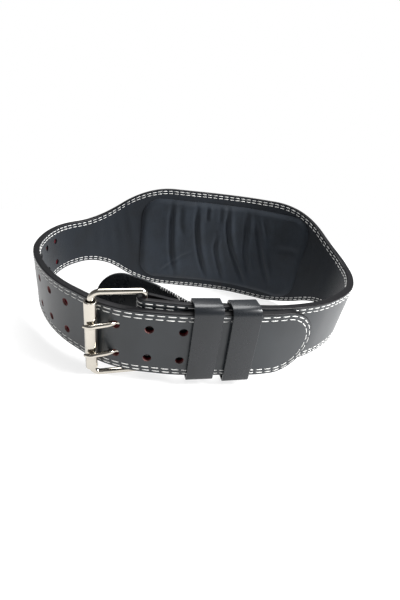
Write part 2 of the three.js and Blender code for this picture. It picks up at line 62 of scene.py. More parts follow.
# Plan of the loop: knots as shares of half its length and half its depth
LOOP_LENGTH = 357 * MM
LOOP_DEPTH = 241 * MM
BUCKLE_RUN = -65.5 * MM
PLAN_KNOTS = (
    (0.0, -0.998), (0.271, -0.969), (0.559, -0.827), (0.834, -0.512),
    (0.989, 0.0), (0.856, 0.525), (0.553, 0.82), (0.26, 0.935),
    (0.0, 0.972), (-0.278, 0.996), (-0.628, 0.93), (-0.936, 0.574),
    (-1.0, 0.0), (-0.855, -0.525), (-0.596, -0.882), (-0.277, -0.992),
)
PLAN_SAMPLES = 6400

# Width, and where it changes along the belt
STRAP_WIDTH = 58 * MM
BACK_WIDTH = 152 * MM
BACK_STRAIGHT = 142 * MM
TAPER_LENGTH = 141 * MM
TAPER_TURN = 0.47
TIP_WIDTH = 63 * MM
WIDENING_START = -15 * MM
WIDENING_RUN = 130 * MM

# Plies: they touch here, in the middle of the gaps between the CAD's
BELT_THICKNESS = 6.0 * MM
OUTER_INSIDE = -2.15 * MM
CORE_INSIDE = -4.05 * MM
EDGE_ROUND = 0.8 * MM
EDGE_TOLERANCE = 1.01
EDGE_STEPS = 4
GROOVE_DEPTH = 0.16 * MM
GROOVE_HALF = 0.75 * MM
PLAIN_INSET = 8.0 * MM

# Free end, which is pushed outwards so that it lies on the strap
TONGUE_LENGTH = 144 * MM
TONGUE_RAMP = 63 * MM
TONGUE_SHIFT = 6.5 * MM

# Fold round the buckle's bar
BAR_DEPTH = -6.6 * MM
FOLD_RETURN = 26 * MM
FOLD_CLOSED = -4.05 * MM
FOLD_LIFT = 5.8 * MM
FOLD_LIFT_RUN = 220 * MM
CORE_SEEN = 3 * MM

# Meshes: the angle from which an edge is sharp, and how near points have to be to be merged
SHARP_ANGLE = math.radians(38)
WELD = 0.001 * MM
SQUARE = ((-1, -1), (1, -1), (1, 1), (-1, 1))

# Steps and columns of the swept leather
STRIP_STEP = 3.0 * MM
FOLD_STEPS = 10
ARC_STEPS = 24
TIP_STEPS = 22
FACE_COLUMNS = 12
LINING_COLUMNS = 44

# Holes
HOLE_PAIRS = 11
HOLE_PITCH = 25.4 * MM
HOLE_DIAMETER = 7 * MM
HOLE_ROW_SPACING = 27.6 * MM
FIRST_HOLE = 31 * MM
HOLE_SIDES = 40
HOLE_REACH = 6.5 * MM
PRONG_PAIR = 2

# Stitches
STITCH_ROWS = (2.7 * MM, 5.9 * MM)
STITCH_LENGTH = 6.4 * MM
STITCH_GAP = 1.6 * MM
THREAD_WIDTH = 0.86 * MM
THREAD_HEIGHT = 0.62 * MM
THREAD_SIDES = 6
STITCH_SHAPE = (
    # share of the length, share of the width, rise as a share of the thread's height
    (0.0, 0.42, -0.62),
    (0.1, 0.82, -0.18),
    (0.3, 1.0, 0.08),
    (0.7, 1.0, 0.08),
    (0.9, 0.82, -0.18),
    (1.0, 0.42, -0.62),
)
ROW_SAMPLE = 1.5 * MM
TIP_ROW_STEPS = 60

# Share of the turn round the bar that is stitched
FOLD_STITCHED = 0.8

# Where the lining starts, past the fold
LINING_START = 53 * MM

# Shield flap
FLAP_THICKNESS = 2.0 * MM
FLAP_ROUND = 0.6 * MM
FLAP_LEAVES = 34.2 * MM
FLAP_REACH = 77 * MM
FLAP_SET_IN = 47 * MM
FLAP_START_HANDLE = 4 * MM
FLAP_END_HANDLE = 44 * MM
FLAP_SAMPLES = 400
FLAP_STEP = 2.0 * MM
FLAP_COLUMNS = 20
FLAP_CUP = 0.5 * MM

# Whipped stitches over the flap's top edge, near where it leaves the belt
WHIP_START = -2 * MM
WHIP_END = 30 * MM
WHIP_PITCH = 2.5 * MM
WHIP_LEAN = 1.6 * MM
WHIP_REACH = 1.2 * MM
WHIP_THREAD = 0.45 * MM
WHIP_PATH = (
    # share of the lean, face of the flap, thread heights outwards, reaches down, way over the edge
    (0.0, 1, -0.5, 1.0, 0),
    (0.2, 1, 0.25, 0.6, 0),
    (0.5, 1, 0.25, 0.0, 0),
    (0.7, 0, 0.0, 0.0, 1),
    (0.9, -1, 0.0, 0.0, 0),
    (1.0, -1, 0.5, 0.4, 0),
)

# Loose end of thread in millimetres: along the flap, outwards, and up from its top edge
LOOSE_RUN = 9 * MM
LOOSE_LINE_STEPS = 8
LOOSE_THREAD = ((0.0, 1.1, -3.0), (-0.8, 1.7, -1.2), (0.4, 2.2, 0.8), (2.0, 2.4, 2.0), (3.6, 2.2, 1.6))

# Lumbar pad, which sits a little off the middle of the back
PAD_SHIFT = -8 * MM
PAD_LENGTH = 248 * MM
PAD_HEIGHT = 124 * MM
PAD_THICKNESS = 4.5 * MM
PAD_CORNER = 28 * MM
PAD_EDGE = 8 * MM
PAD_RIM = 0.22
PAD_STEP = 1.1 * MM
PAD_COLUMNS = 108
PAD_END_STEPS = 26
PAD_SHARP = math.radians(60)
PAD_SWELLS = (
    # height as a share of the thickness, length, phase
    (0.06, 19 * MM, 0.0),
    (0.04, 11 * MM, 1.3),
)

# Creases of the pad in millimetres: the places each runs through, from the middle of the
# back towards the left and upwards, its width, and its depth as a share of the deepest
CREASES = (
    (((74, 60), (73, 29), (69, -11), (60, -53)), 3.6, 1.0),
    (((38, 60), (35, 26), (26, -12), (8, -55)), 3.2, 1.0),
    (((22, 58), (20, 36)), 2.6, 0.5),
    (((2, 18), (1, -4), (-9, -32), (-20, -58)), 2.8, 0.75),
    (((-8, 60), (-12, 31), (-23, -1), (-43, -34), (-57, -55)), 3.0, 1.0),
    (((-37, 56), (-43, 21), (-48, -6), (-62, -42)), 3.2, 0.8),
    (((-51, 51), (-62, 24), (-75, -9), (-94, -47)), 3.4, 0.85),
    (((83, -52), (63, -33), (53, -24), (35, -13)), 2.4, 0.35),
    (((-91, 12), (-111, 15), (-128, 17)), 4.0, 0.3),
    (((61, 58), (59, 30), (52, 9)), 4.0, 0.45),
    (((3, 61), (0, 36)), 3.0, 0.3),
    (((-62, 52), (-75, 23)), 3.2, 0.35),
)
WRINKLE_DEPTH = 2.7 * MM

# Ridges beside each crease: heights as shares of its depth, place and width as shares of its width
RIGHT_RIDGE = 0.75
LEFT_RIDGE = 0.12
RIDGE_AWAY = 1.9
RIDGE_WIDTH = 1.35
CREASE_LINE_STEPS = 6

# How much of its length each end of a crease takes to fade, and what is left of its depth at
# the end and at the pad's rim
CREASE_FADE = 0.22
CREASE_END = 0.2
CREASE_RIM = 0.3

# Rumples of the lining between the pad and the strap, in millimetres: offset from the middle of
# the back, height, half length, half height, then the lean and a share of the depth
RUMPLES = (
    (132, 18, 5.0, 34, 0.22, 1.0),
    (147, 8, 4.5, 30, 0.18, 0.8),
    (163, 2, 5.5, 26, 0.12, 0.9),
    (181, 0, 5.0, 22, 0.05, 0.7),
    (199, -2, 6.0, 20, 0.0, 0.6),
    (-134, 10, 5.0, 30, -0.2, 0.9),
    (-152, 4, 5.5, 26, -0.12, 0.8),
    (-172, 0, 5.0, 22, -0.05, 0.6),
)
RUMPLE_DEPTH = 1.1 * MM

# Keepers
KEEPERS = (
    # name, lean in degrees, slack below the strap as a share
    ("keeper_1", -1.5, 0.2),
    ("keeper_2", -3.2, 0.5),
)
FIRST_KEEPER = 48 * MM
KEEPER_SPACING = 30.6 * MM
KEEPER_WIDTH = 22.6 * MM
KEEPER_THICKNESS = 2.0 * MM
KEEPER_CLEARANCE = 0.8 * MM
KEEPER_TOP_CLEARANCE = 1.0 * MM
KEEPER_SLACK = 4 * MM
KEEPER_CORNER = 1.4 * MM
KEEPER_SHOULDER = 5 * MM
KEEPER_ROUND = 0.6 * MM
KEEPER_BOW = 0.5 * MM
KEEPER_STEP = 4.5 * MM
KEEPER_CORNER_STEPS = 8

# Buckle
FRAME_LENGTH = 40.4 * MM
FRAME_HEIGHT = 77.6 * MM
FRAME_RISE = 0.8 * MM
FRAME_WIRE = 4.8 * MM
FRAME_LEAN = math.radians(14.67911)
BAR_CORNER = 4 * MM
ROLLER_CORNER = 7 * MM
METAL_GAP = 0.3 * MM
ROLLER_DIAMETER = 10 * MM
ROLLER_WALL = 1.4 * MM
ROLLER_ROUND = 0.5 * MM
WIRE_SIDES = 28
CORNER_STEPS = 10
ROLLER_SIDES = 72

# Prongs. Each arc is its first and last angle in degrees and its number of points
PRONG_WIRE = 4 * MM
PRONG_EYE = (290, 90, 9)
PRONG_RISE = (
    # share of the way to the hole, radii of the eye outwards, share of the hole's outward distance
    (0.45, 0.72, 0.0),
    (0.8, 0.62, 0.1),
)
PRONG_OVER = (115, 75, 3)
PRONG_TIP = 3.5 * MM
PRONG_DROP = 0.4
PRONG_LINE_STEPS = 12
PRONG_STEPS = 90

# Place of a prong between its hole and the roller: share of the way there, then its outward
# distance as shares of the hole's and of the one over the roller
PRONG_SPAN = 1 / 3
PRONG_HOLE_SHARE = 15 / 22
PRONG_ROLLER_SHARE = 5 / 11

# Thinner ends of a prong: what the tip loses, what the root keeps, and the share each takes up
PRONG_TAPER = 0.42
PRONG_TAPER_SHARE = 0.1
PRONG_ROOT = 0.75
PRONG_ROOT_SHARE = 0.03

# Way through the leather for a prong
PRONG_WAY_ROOM = 1.2 * METAL_GAP
PRONG_WAY_SIDES = 16
PRONG_WAY_STEPS = 44

# Camera, fitted to the photograph: focal length and principal point in its pixels
IMAGE_WIDTH = 400
IMAGE_HEIGHT = 600
SENSOR = 36.0
FOCAL_PIXELS = 283.3
PRINCIPAL_POINT = (168.5, 277.1)
CAMERA_PLACE = Vector((-78.4, -310.4, 160.0)) * MM
CAMERA_RIGHT = Vector((0.9870, -0.1103, 0.1172))
CAMERA_FORWARD = Vector((0.1426, 0.9368, -0.3194))
CAMERA_CLIP = 10 * MM

# Stage, in metres: greys of the surround by height, and the place, size and power of each softbox
FLOOR_REACH = 0.75
FLOOR_GLOW = 0.8
SURROUND = ((0.0, 0.5), (0.1, 0.4), (0.3, 0.15), (1.0, 0.1))
SOFTBOXES = (
    ("Top softbox", (0.1, 0.5, 1.9), 1.4, 44.0),
    ("Key softbox", (1.0, -0.6, 1.0), 0.4, 38.0),
)
LIGHT_TARGET = Vector((0.0, 0.0, 0.05))


def size_property(name, description, default, least=0.0):
    """A length that the sidebar shows in the scene's unit."""
    return FloatProperty(name=name, description=description, default=default, min=least, unit="LENGTH")


def colour_property(name, description, default):
    """A colour that the sidebar shows as a swatch."""
    return FloatVectorProperty(
        name=name, description=description, default=default, min=0.0, max=1.0, size=3, subtype="COLOR",
    )


class BeltSizes(bpy.types.PropertyGroup):
    """Sizes of the belt that a user would change."""

    strap_width: size_property("Strap width", "Width of the strap at the buckle", STRAP_WIDTH, 20 * MM)
    back_width: size_property("Back width", "Width of the lumbar part", BACK_WIDTH, 40 * MM)
    tongue_length: size_property("Free end", "Length of the free end past the bar", TONGUE_LENGTH, 50 * MM)
    hole_diameter: size_property("Hole diameter", "Diameter of the punched holes", HOLE_DIAMETER, 3 * MM)
    hole_pitch: size_property("Hole pitch", "Distance between pairs of holes", HOLE_PITCH, 10 * MM)
    stitch_length: size_property("Stitch length", "Length of each stitch on the leather", STITCH_LENGTH, MM)
    stitch_gap: size_property("Stitch gap", "Gap between two stitches of a row", STITCH_GAP)
    thread_width: size_property("Thread width", "Width of the thread", THREAD_WIDTH, 0.2 * MM)
    pad_thickness: size_property("Pad thickness", "Height of the pad over the lining", PAD_THICKNESS, MM)
    wrinkle_depth: size_property("Wrinkle depth", "Depth of the pad's deepest crease", WRINKLE_DEPTH)
    keeper_width: size_property("Keeper width", "Width of each keeper loop", KEEPER_WIDTH, 5 * MM)
    frame_wire: size_property("Buckle wire", "Diameter of the buckle frame's wire", FRAME_WIRE, 2 * MM)


class BeltColours(bpy.types.PropertyGroup):
    """Colours of the belt's finishes."""

    outer: colour_property("Outer leather", "Smooth black face", (0.021, 0.025, 0.029))
    edge: colour_property("Edge paint", "Painted edges of the plies", (0.004, 0.004, 0.005))
    core: colour_property("Core", "Fibre core seen in the holes", (0.15, 0.012, 0.02))
    fibre: colour_property("Cut leather", "Raw leather in the holes of the outer face", (0.2, 0.09, 0.085))
    lining: colour_property("Lining", "Matt inner face", (0.0055, 0.0085, 0.013))
    pad: colour_property("Pad", "Soft leather of the lumbar pad", (0.0105, 0.0155, 0.023))
    smooth: colour_property("Smooth leather", "Keepers and shield flap", (0.012, 0.014, 0.017))
    metal: colour_property("Nickel", "Plated buckle", (0.64, 0.60, 0.53))
    thread: colour_property("Thread", "Waxed thread", (0.86, 0.86, 0.84))
    floor: colour_property("Floor", "Plain studio floor", (0.28, 0.28, 0.28))


# Shader helpers


class Channel:
    """One output of a material's nodes, which Python's operators work on."""

    def __init__(self, surface, socket):
        self.surface = surface
        self.socket = socket

    def __add__(self, other):
        return self.surface.maths("ADD", self, other)

    __radd__ = __add__

    def __mul__(self, other):
        return self.surface.maths("MULTIPLY", self, other)


class Tree:
    """A tree of shader nodes, emptied first."""

    def __init__(self, owner):
        owner.use_nodes = True
        self.tree = owner.node_tree
        self.tree.nodes.clear()

    def fill(self, socket, value):
        """Links a channel to a socket, or sets the socket's own value."""
        if isinstance(value, Channel):
            self.tree.links.new(value.socket, socket)
        else:
            socket.default_value = value

    def node(self, kind, settings=None, values=None, output=0):
        """Adds a node: its settings are set first, then the values or links of its sockets."""
        made = self.tree.nodes.new(kind)
        for name, value in (settings or {}).items():
            if name == "stops":
                self.set_stops(made.color_ramp, value)
            else:
                setattr(made, name, value)
        for name, value in (values or {}).items():
            self.fill(made.inputs[name], value)
        return None if output is None else Channel(self, made.outputs[output])

    def set_stops(self, ramp, stops):
        """Gives a ramp its stops, each a place and a grey."""
        while len(ramp.elements) < len(stops):
            ramp.elements.new(1.0)
        for element, (place, grey) in zip(ramp.elements, stops):
            element.position = place
            element.color = (grey, grey, grey, 1.0)

    def maths(self, operation, first, second):
        """A Math node on two numbers or channels."""
        return self.node("ShaderNodeMath", {"operation": operation}, {0: first, 1: second})

    def place(self, stretch=(1.0, 1.0, 1.0)):
        """Places on the object, stretched along each axis."""
        where = self.node("ShaderNodeTexCoord", output="Object")
        settings = {"operation": "MULTIPLY"}
        return self.node("ShaderNodeVectorMath", settings, {0: where, 1: stretch})

    def noise(self, size, detail=4.0, roughness=0.55, stretch=(1.0, 1.0, 1.0), bend=0.0):
        """Soft noise whose patches are about as large as size."""
        values = {
            "Vector": self.place(stretch),
            "Scale": 1.0 / size,
            "Detail": detail,
            "Roughness": roughness,
            "Distortion": bend,
        }
        return self.node("ShaderNodeTexNoise", {}, values, output="Fac")

    def cells(self, size):
        """Distance from the edges of pebbled cells."""
        values = {"Vector": self.place(), "Scale": 1.0 / size}
        return self.node("ShaderNodeTexVoronoi", {"feature": "DISTANCE_TO_EDGE"}, values, output="Distance")

    def ramp(self, channel, *stops):
        """A channel through a ramp of greys."""
        return self.node("ShaderNodeValToRGB", {"stops": stops}, {"Fac": channel})

    def mix(self, share, first, second):
        """A mix of two colours."""
        settings = {"data_type": "RGBA"}
        return self.node("ShaderNodeMix", settings, {0: share, 6: first, 7: second}, output=2)


class Surface(Tree):
    """A material with a Principled shader, and the nodes that feed it."""

    def __init__(self, name, colour, roughness, metallic=0.0, specular=0.5):
        self.material = bpy.data.materials.new(name)
        super().__init__(self.material)
        self.shader = self.tree.nodes.new("ShaderNodeBsdfPrincipled")
        output = self.tree.nodes.new("ShaderNodeOutputMaterial")
        self.tree.links.new(self.shader.outputs["BSDF"], output.inputs["Surface"])
        self.colour = (*colour, 1.0)
        self.material.diffuse_color = self.colour
        self.feed("Base Color", self.colour)
        self.feed("Roughness", roughness)
        self.feed("Metallic", metallic)
        self.feed("Specular IOR Level", specular)

    def feed(self, name, value):
        """Sets or links one socket of the shader."""
        self.fill(self.shader.inputs[name], value)

    def vary_colour(self, share, light=1.0, dark=1.0):
        """Mixes the colour between a darker and a lighter shade of itself."""
        dull = (*(c * dark for c in self.colour[:3]), 1.0)
        bright = (*(min(1.0, c * light) for c in self.colour[:3]), 1.0)
        self.feed("Base Color", self.mix(share, dull, bright))

    def relief(self, channel, depth):
        """Feeds a bump of a height in metres to the shader's normal."""
        values = {"Strength": 1.0, "Distance": depth, "Height": channel}
        self.feed("Normal", self.node("ShaderNodeBump", {}, values, output="Normal"))


def smooth_leather(name, colour, roughness):
    """Finished leather: a fine grain, soft waves and a slightly uneven gloss."""
    surface = Surface(name, colour, roughness)
    cloud = surface.noise(50 * MM, detail=3.0)
    waves = surface.noise(18 * MM, detail=2.0)
    scuff = surface.noise(6 * MM, detail=6.0, roughness=0.7)
    grain = surface.noise(0.7 * MM, detail=2.0)
    surface.vary_colour(surface.ramp(cloud, (0.35, 0.0), (0.65, 1.0)), light=1.18, dark=0.88)
    surface.feed("Roughness", roughness - 0.04 + cloud * 0.05 + scuff * 0.03)
    surface.relief(grain * 0.25 + scuff * 0.05 + waves * 0.6, depth=0.08 * MM)
    return surface.material


def matt_leather(name, colour, pebble, crease_share):
    """Soft matt leather with a pebbled grain and fine creases."""
    surface = Surface(name, colour, roughness=0.72, specular=0.28)
    cloud = surface.noise(30 * MM, detail=4.0)
    creases = surface.noise(4 * MM, detail=5.0, roughness=0.65, stretch=(1.0, 1.0, 0.35), bend=0.6)
    grain = surface.ramp(surface.cells(pebble), (0.0, 0.0), (0.25, 1.0))
    surface.vary_colour(surface.ramp(cloud, (0.3, 0.0), (0.7, 1.0)), light=1.35, dark=0.78)
    surface.feed("Roughness", 0.62 + cloud * 0.14)
    surface.relief(grain * 0.3 + creases * crease_share, depth=0.22 * MM)
    surface.feed("Sheen Weight", 0.12)
    surface.feed("Sheen Roughness", 0.5)
    return surface.material


def raw_fibre(name, colour):
    """Cut or pressed fibre: dull, with fine flecks."""
    surface = Surface(name, colour, roughness=0.9, specular=0.2)
    flecks = surface.noise(0.6 * MM, detail=3.0, roughness=0.7)
    surface.vary_colour(flecks, light=1.45, dark=0.55)
    surface.relief(flecks, depth=0.12 * MM)
    return surface.material


def edge_paint(name, colour):
    """Burnished edge paint, with the faint lines of the plies."""
    surface = Surface(name, colour, roughness=0.4, specular=0.22)
    lines = surface.noise(4 * MM, detail=3.0)
    surface.vary_colour(lines, light=1.8, dark=0.7)
    surface.feed("Roughness", 0.34 + lines * 0.16)
    surface.relief(lines, depth=0.08 * MM)
    return surface.material


def waxed_thread(name, colour):
    """Twisted thread, waxed and a little soiled."""
    surface = Surface(name, colour, roughness=0.62, specular=0.35)
    twist = surface.noise(0.9 * MM, detail=2.0, bend=1.5)
    soil = surface.ramp(surface.noise(20 * MM, detail=3.0) + twist * 0.3, (0.35, 0.0), (0.75, 1.0))
    surface.vary_colour(soil, light=1.05, dark=0.74)
    surface.relief(twist, depth=0.12 * MM)
    return surface.material


def plated_metal(name, colour):
    """Polished nickel plate with faint hairlines and warm patches."""
    surface = Surface(name, colour, roughness=0.1, metallic=1.0)
    patches = surface.noise(12 * MM, detail=3.0)
    hairlines = surface.noise(1.5 * MM, detail=4.0, stretch=(1.0, 1.0, 0.06))
    surface.vary_colour(patches, light=1.08, dark=0.86)
    surface.feed("Roughness", 0.08 + patches * 0.06 + hairlines * 0.04)
    surface.relief(hairlines, depth=0.004 * MM)
    return surface.material


def studio_floor(name, colour):
    """Plain floor, lit a little from below like a light table."""
    surface = Surface(name, colour, roughness=0.85, specular=0.1)
    surface.vary_colour(surface.noise(600 * MM, detail=2.0), light=1.02, dark=0.99)
    surface.feed("Emission Color", (1.0, 1.0, 1.0, 1.0))
    surface.feed("Emission Strength", FLOOR_GLOW)
    return surface.material


FINISHES = {}


def finish(name):
    """The material of a finish, made on first use."""
    colours = bpy.context.scene.belt_colours
    makers = {
        "outer_leather": lambda: smooth_leather("Smooth black leather", colours.outer, roughness=0.34),
        "smooth": lambda: smooth_leather("Keeper leather", colours.smooth, roughness=0.27),
        "lining": lambda: matt_leather("Navy lining", colours.lining, 1.6 * MM, crease_share=0.8),
        "pad": lambda: matt_leather("Soft pad leather", colours.pad, 1.8 * MM, crease_share=1.3),
        "core": lambda: raw_fibre("Red fibre core", colours.core),
        "fibre": lambda: raw_fibre("Cut leather", colours.fibre),
        "edge": lambda: edge_paint("Edge paint", colours.edge),
        "thread": lambda: waxed_thread("Waxed thread", colours.thread),
        "metal": lambda: plated_metal("Polished nickel", colours.metal),
        "floor": lambda: studio_floor("Pale floor", colours.floor),
    }
    if name not in FINISHES:
        FINISHES[name] = makers[name]()
    return FINISHES[name]


# Geometry helpers


def ease(x):
    """Smooth step from 0 to 1."""
    x = np.clip(x, 0.0, 1.0)
    return x * x * (3 - 2 * x)


def stand_up(flat, tall):
    """Moves plan points and heights of the belt's own drawing onto the floor, in the row's frame."""
    turn = np.array(STAND_TURN.to_matrix())
    return np.column_stack([flat, tall]) @ turn.T + np.array(STAND_PLACE)


def unit(vectors):
    """Vectors at length one."""
    return vectors / np.linalg.norm(vectors, axis=-1, keepdims=True)


def right_of(vectors):
    """Flat vectors, turned a quarter to the right."""
    return np.stack([vectors[..., 1], -vectors[..., 0]], -1)


def catmull_rom(knots, turns, closed):
    """Points and directions of the curve through the knots, at places counted in knots."""
    count = len(knots)
    if closed:
        padded = np.concatenate([knots[-1:], knots, knots[:2]])
    else:
        padded = np.concatenate([2 * knots[:1] - knots[1:2], knots, 2 * knots[-1:] - knots[-2:-1]])
        count -= 1
    first = np.clip(np.floor(turns).astype(int), 0, count - 1)
    x = (turns - first)[:, None]
    before, start, end, after = (padded[first + k] for k in range(4))
    leave = (end - before) / 2
    arrive = (after - start) / 2
    bend = 3 * (end - start) - 2 * leave - arrive
    twist = 2 * (start - end) + leave + arrive
    points = start + leave * x + bend * x**2 + twist * x**3
    slopes = leave + 2 * bend * x + 3 * twist * x**2
    return points, unit(slopes)


def line_through(knots, steps):
    """A smooth open line through the knots, with so many points for each."""
    turns = np.linspace(0, len(knots) - 1, steps * len(knots))
    return catmull_rom(knots, turns, closed=False)[0]


def arc(centre, radius, start, end, steps):
    """Points of an arc between two angles in degrees, and their outward directions."""
    angles = np.radians(np.linspace(start, end, steps))
    outwards = np.column_stack([np.cos(angles), np.sin(angles)])
    return np.array(centre) + radius * outwards, outwards


def lengths_along(points):
    """Length along a line of points, up to each point."""
    return np.concatenate([[0.0], np.cumsum(np.linalg.norm(np.diff(points, axis=0), axis=1))])


def on_line(where, lengths, line):
    """Flat values along a line, at the lengths asked for."""
    return np.stack([np.interp(where, lengths, line[:, k]) for k in (0, 1)], -1)


def circle(radius, sides):
    """Points round a circle."""
    return arc((0.0, 0.0), radius, 0, 360, sides + 1)[0][:-1]


class Belt:
    """Places on the belt, from a run, a depth and a height."""

    def __init__(self, sizes):
        self.sizes = sizes
        self.knots = np.array(PLAN_KNOTS) * (LOOP_LENGTH / 2, LOOP_DEPTH / 2)
        self.turns = np.linspace(0, len(self.knots), PLAN_SAMPLES + 1)
        points, _ = catmull_rom(self.knots, self.turns, closed=True)
        self.lengths = lengths_along(points)
        self.loop = self.lengths[-1]
        self.back = self.loop / 2
        self.arc = math.pi * -BAR_DEPTH
        self.tip_radius = TIP_WIDTH / 2
        self.tip_centre = self.loop + sizes.tongue_length - self.tip_radius

    def plan(self, run):
        """Point, direction along and outward side of the outer face's line."""
        turns = np.interp(np.mod(BUCKLE_RUN + run, self.loop), self.lengths, self.turns)
        points, along = catmull_rom(self.knots, turns, closed=True)
        return points, along, right_of(along)

    def half_width(self, run):
        """Half the belt's width: straight at the back, then a convex and a concave curve."""
        away = np.abs(run - self.back) - BACK_STRAIGHT / 2
        x = np.clip(1 - away / TAPER_LENGTH, 0.0, 1.0)
        convex = 1 - (1 - x) ** 2 / (1 - TAPER_TURN)
        share = np.where(x < TAPER_TURN, x * x / TAPER_TURN, convex)
        widened = np.clip((run - self.loop - WIDENING_START) / WIDENING_RUN, 0.0, 1.0)
        strap = self.sizes.strap_width
        return (strap + (self.sizes.back_width - strap) * share + (TIP_WIDTH - strap) * widened) / 2

    def lift(self, run):
        """How far the buckle's end rides upwards."""
        return FOLD_LIFT * (1 - ease(run / FOLD_LIFT_RUN))

    def half_at(self, run):
        """Half the belt's width at each run, the fold's too."""
        return self.half_width(self.unfolded(run))

    def unfolded(self, run):
        """The run of the belt that lies beside each run, with the fold counted below zero."""
        return np.where(run >= 0, run, np.maximum(-run - self.arc, 0.0))

    def axes(self, run):
        """For each run, the point at depth zero and the direction in which depth grows."""
        beside = self.unfolded(run)
        point, along, out = self.plan(beside)
        shift = TONGUE_SHIFT * ease((run - self.loop) / TONGUE_RAMP + 1)
        middle = BAR_DEPTH + (FOLD_CLOSED - BAR_DEPTH) * ease(beside / FOLD_RETURN)
        angle = np.clip(-run / -BAR_DEPTH, 0.0, math.pi)[:, None]
        round_bar = out * np.cos(angle) - along * np.sin(angle)
        on_arc = ((run < 0) & (run > -self.arc))[:, None]
        on_return = (run <= -self.arc)[:, None]
        origin = point + out * shift[:, None]
        origin = np.where(on_arc, point + (out - round_bar) * BAR_DEPTH, origin)
        origin = np.where(on_return, point + out * (2 * middle)[:, None], origin)
        direction = np.where(on_return, -out, np.where(on_arc, round_bar, out))
        return origin, direction

    def at(self, run, depth, height):
        """Points of the row's frame, in the shape of the arrays handed in, flattened where they rest."""
        run, depth, height = np.broadcast_arrays(run, depth, height)
        origin, direction = self.axes(run.ravel())
        flat = origin + direction * depth.ravel()[:, None]
        tall = height.ravel() + self.lift(self.unfolded(run.ravel()))
        points = stand_up(flat, tall)
        points[:, 2] = np.maximum(points[:, 2], 0.0)
        return points.reshape(*run.shape, 3)


def new_mesh(name, points, faces, materials, indices=None, sharp=SHARP_ANGLE, merge=WELD):
    """A smooth object from points and faces, with merged points and outward faces."""
    mesh = bpy.data.meshes.new(name)
    mesh.from_pydata(points.tolist(), [], faces)
    for material in materials:
        mesh.materials.append(material)
    if indices is not None:
        mesh.polygons.foreach_set("material_index", indices)
    work = bmesh.new()
    work.from_mesh(mesh)
    if merge:
        bmesh.ops.remove_doubles(work, verts=work.verts, dist=merge)
        bmesh.ops.dissolve_degenerate(work, dist=merge, edges=work.edges)
    bmesh.ops.recalc_face_normals(work, faces=work.faces)
    work.to_mesh(mesh)
    work.free()
    mesh.shade_smooth()
    mesh.set_sharp_from_angle(angle=sharp)
    made = bpy.data.objects.new(name, mesh)
    bpy.context.scene.collection.objects.link(made)
    return made


def skin(first, count, sides, joined=False):
    """Faces between neighbouring rings, whose points are counted on from first."""
    faces = []
    for i in range(count if joined else count - 1):
        near = first + i * sides
        far = first + (i + 1) % count * sides
        for j in range(sides):
            k = (j + 1) % sides
            faces.append((near + j, near + k, far + k, far + j))
    return faces


def loft(name, rings, materials, segments=None, joined=False, caps=(True, True), **options):
    """A skin over rings of points. Segments give the material of each face between two rings."""
    count, sides = rings.shape[:2]
    faces = skin(0, count, sides, joined)
    indices = [0] * len(faces) if segments is None else list(segments.ravel()[:len(faces)])
    for cap, ring in zip(caps, (0, count - 1)):
        if cap and not joined:
            faces.append(tuple(ring * sides + j for j in range(sides)))
            indices.append(0)
    return new_mesh(name, rings.reshape(-1, 3), faces, materials, indices, **options)


def closed_tubes(name, tubes, material, **options):
    """One object from tubes, each closed at both ends. The array goes by tube, ring and side."""
    count, rings, sides = tubes.shape[:3]
    faces = []
    for first in range(0, count * rings * sides, rings * sides):
        last = first + (rings - 1) * sides
        faces += skin(first, rings, sides)
        faces.append(tuple(first + j for j in reversed(range(sides))))
        faces.append(tuple(last + j for j in range(sides)))
    return new_mesh(name, tubes.reshape(-1, 3), faces, [material], **options)


def carve(piece, cutter):
    """Cuts a shape out of a piece. The cut faces take the cutter's material."""
    cut = piece.modifiers.new("Cut", "BOOLEAN")
    cut.operation = "DIFFERENCE"
    cut.solver = "EXACT"
    cut.material_mode = "TRANSFER"
    cut.object = cutter
    shown = bpy.context.evaluated_depsgraph_get()
    mesh = bpy.data.meshes.new_from_object(piece.evaluated_get(shown))
    piece.modifiers.clear()
    old = piece.data
    piece.data = mesh
    bpy.data.meshes.remove(old)
    bpy.data.objects.remove(cutter)
    mesh.set_sharp_from_angle(angle=SHARP_ANGLE)


def finish_piece(piece, slot, *nodes):
    """Fixes a piece to the part's body and hides the nodes it stands for. The slot is not used."""
    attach(piece, "root")
    if nodes:
        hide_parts(*nodes)
    return piece


# Swept leather


def border(face, inwards, rounded, grooved):
    """Depths and insets from the edge of a face, as far as the plain middle."""
    points = []
    if rounded:
        for step in range(EDGE_STEPS + 1):
            angle = math.pi / 2 * step / EDGE_STEPS
            inset = rounded * (1 - math.cos(angle))
            points.append((face + inwards * rounded * (1 - math.sin(angle)), inset))
    else:
        points.append((face, 0.0))
    if grooved:
        for row in STITCH_ROWS:
            points.append((face, row - GROOVE_HALF))
            points.append((face + inwards * GROOVE_DEPTH, row))
            points.append((face, row + GROOVE_HALF))
    return points


def face_points(face, inwards, first, rounded, grooved, columns):
    """Depth, inset and share across, from one edge of a face to the other."""
    edge = border(face, inwards, rounded, grooved)
    middle = np.linspace(first, -first, columns + 1)
    points = [(depth, inset, first) for depth, inset in edge]
    points += [(face, PLAIN_INSET, share) for share in middle]
    points += [(depth, inset, -first) for depth, inset in reversed(edge)]
    return points


def ply_profile(outer, inner, outer_round, inner_round, columns):
    """Ring round a ply: up its outer face and down its inner face, with each side's material."""
    over = face_points(outer, -1, -1, outer_round, outer_round > 0, columns)
    back = face_points(inner, 1, 1, inner_round, inner_round > 0, columns)
    ring = np.array(over + back)
    band = EDGE_ROUND * EDGE_TOLERANCE
    following = np.roll(ring, -1, axis=0)
    on_edge = np.maximum(ring[:, 1], following[:, 1]) <= band
    return ring, on_edge.astype(int)


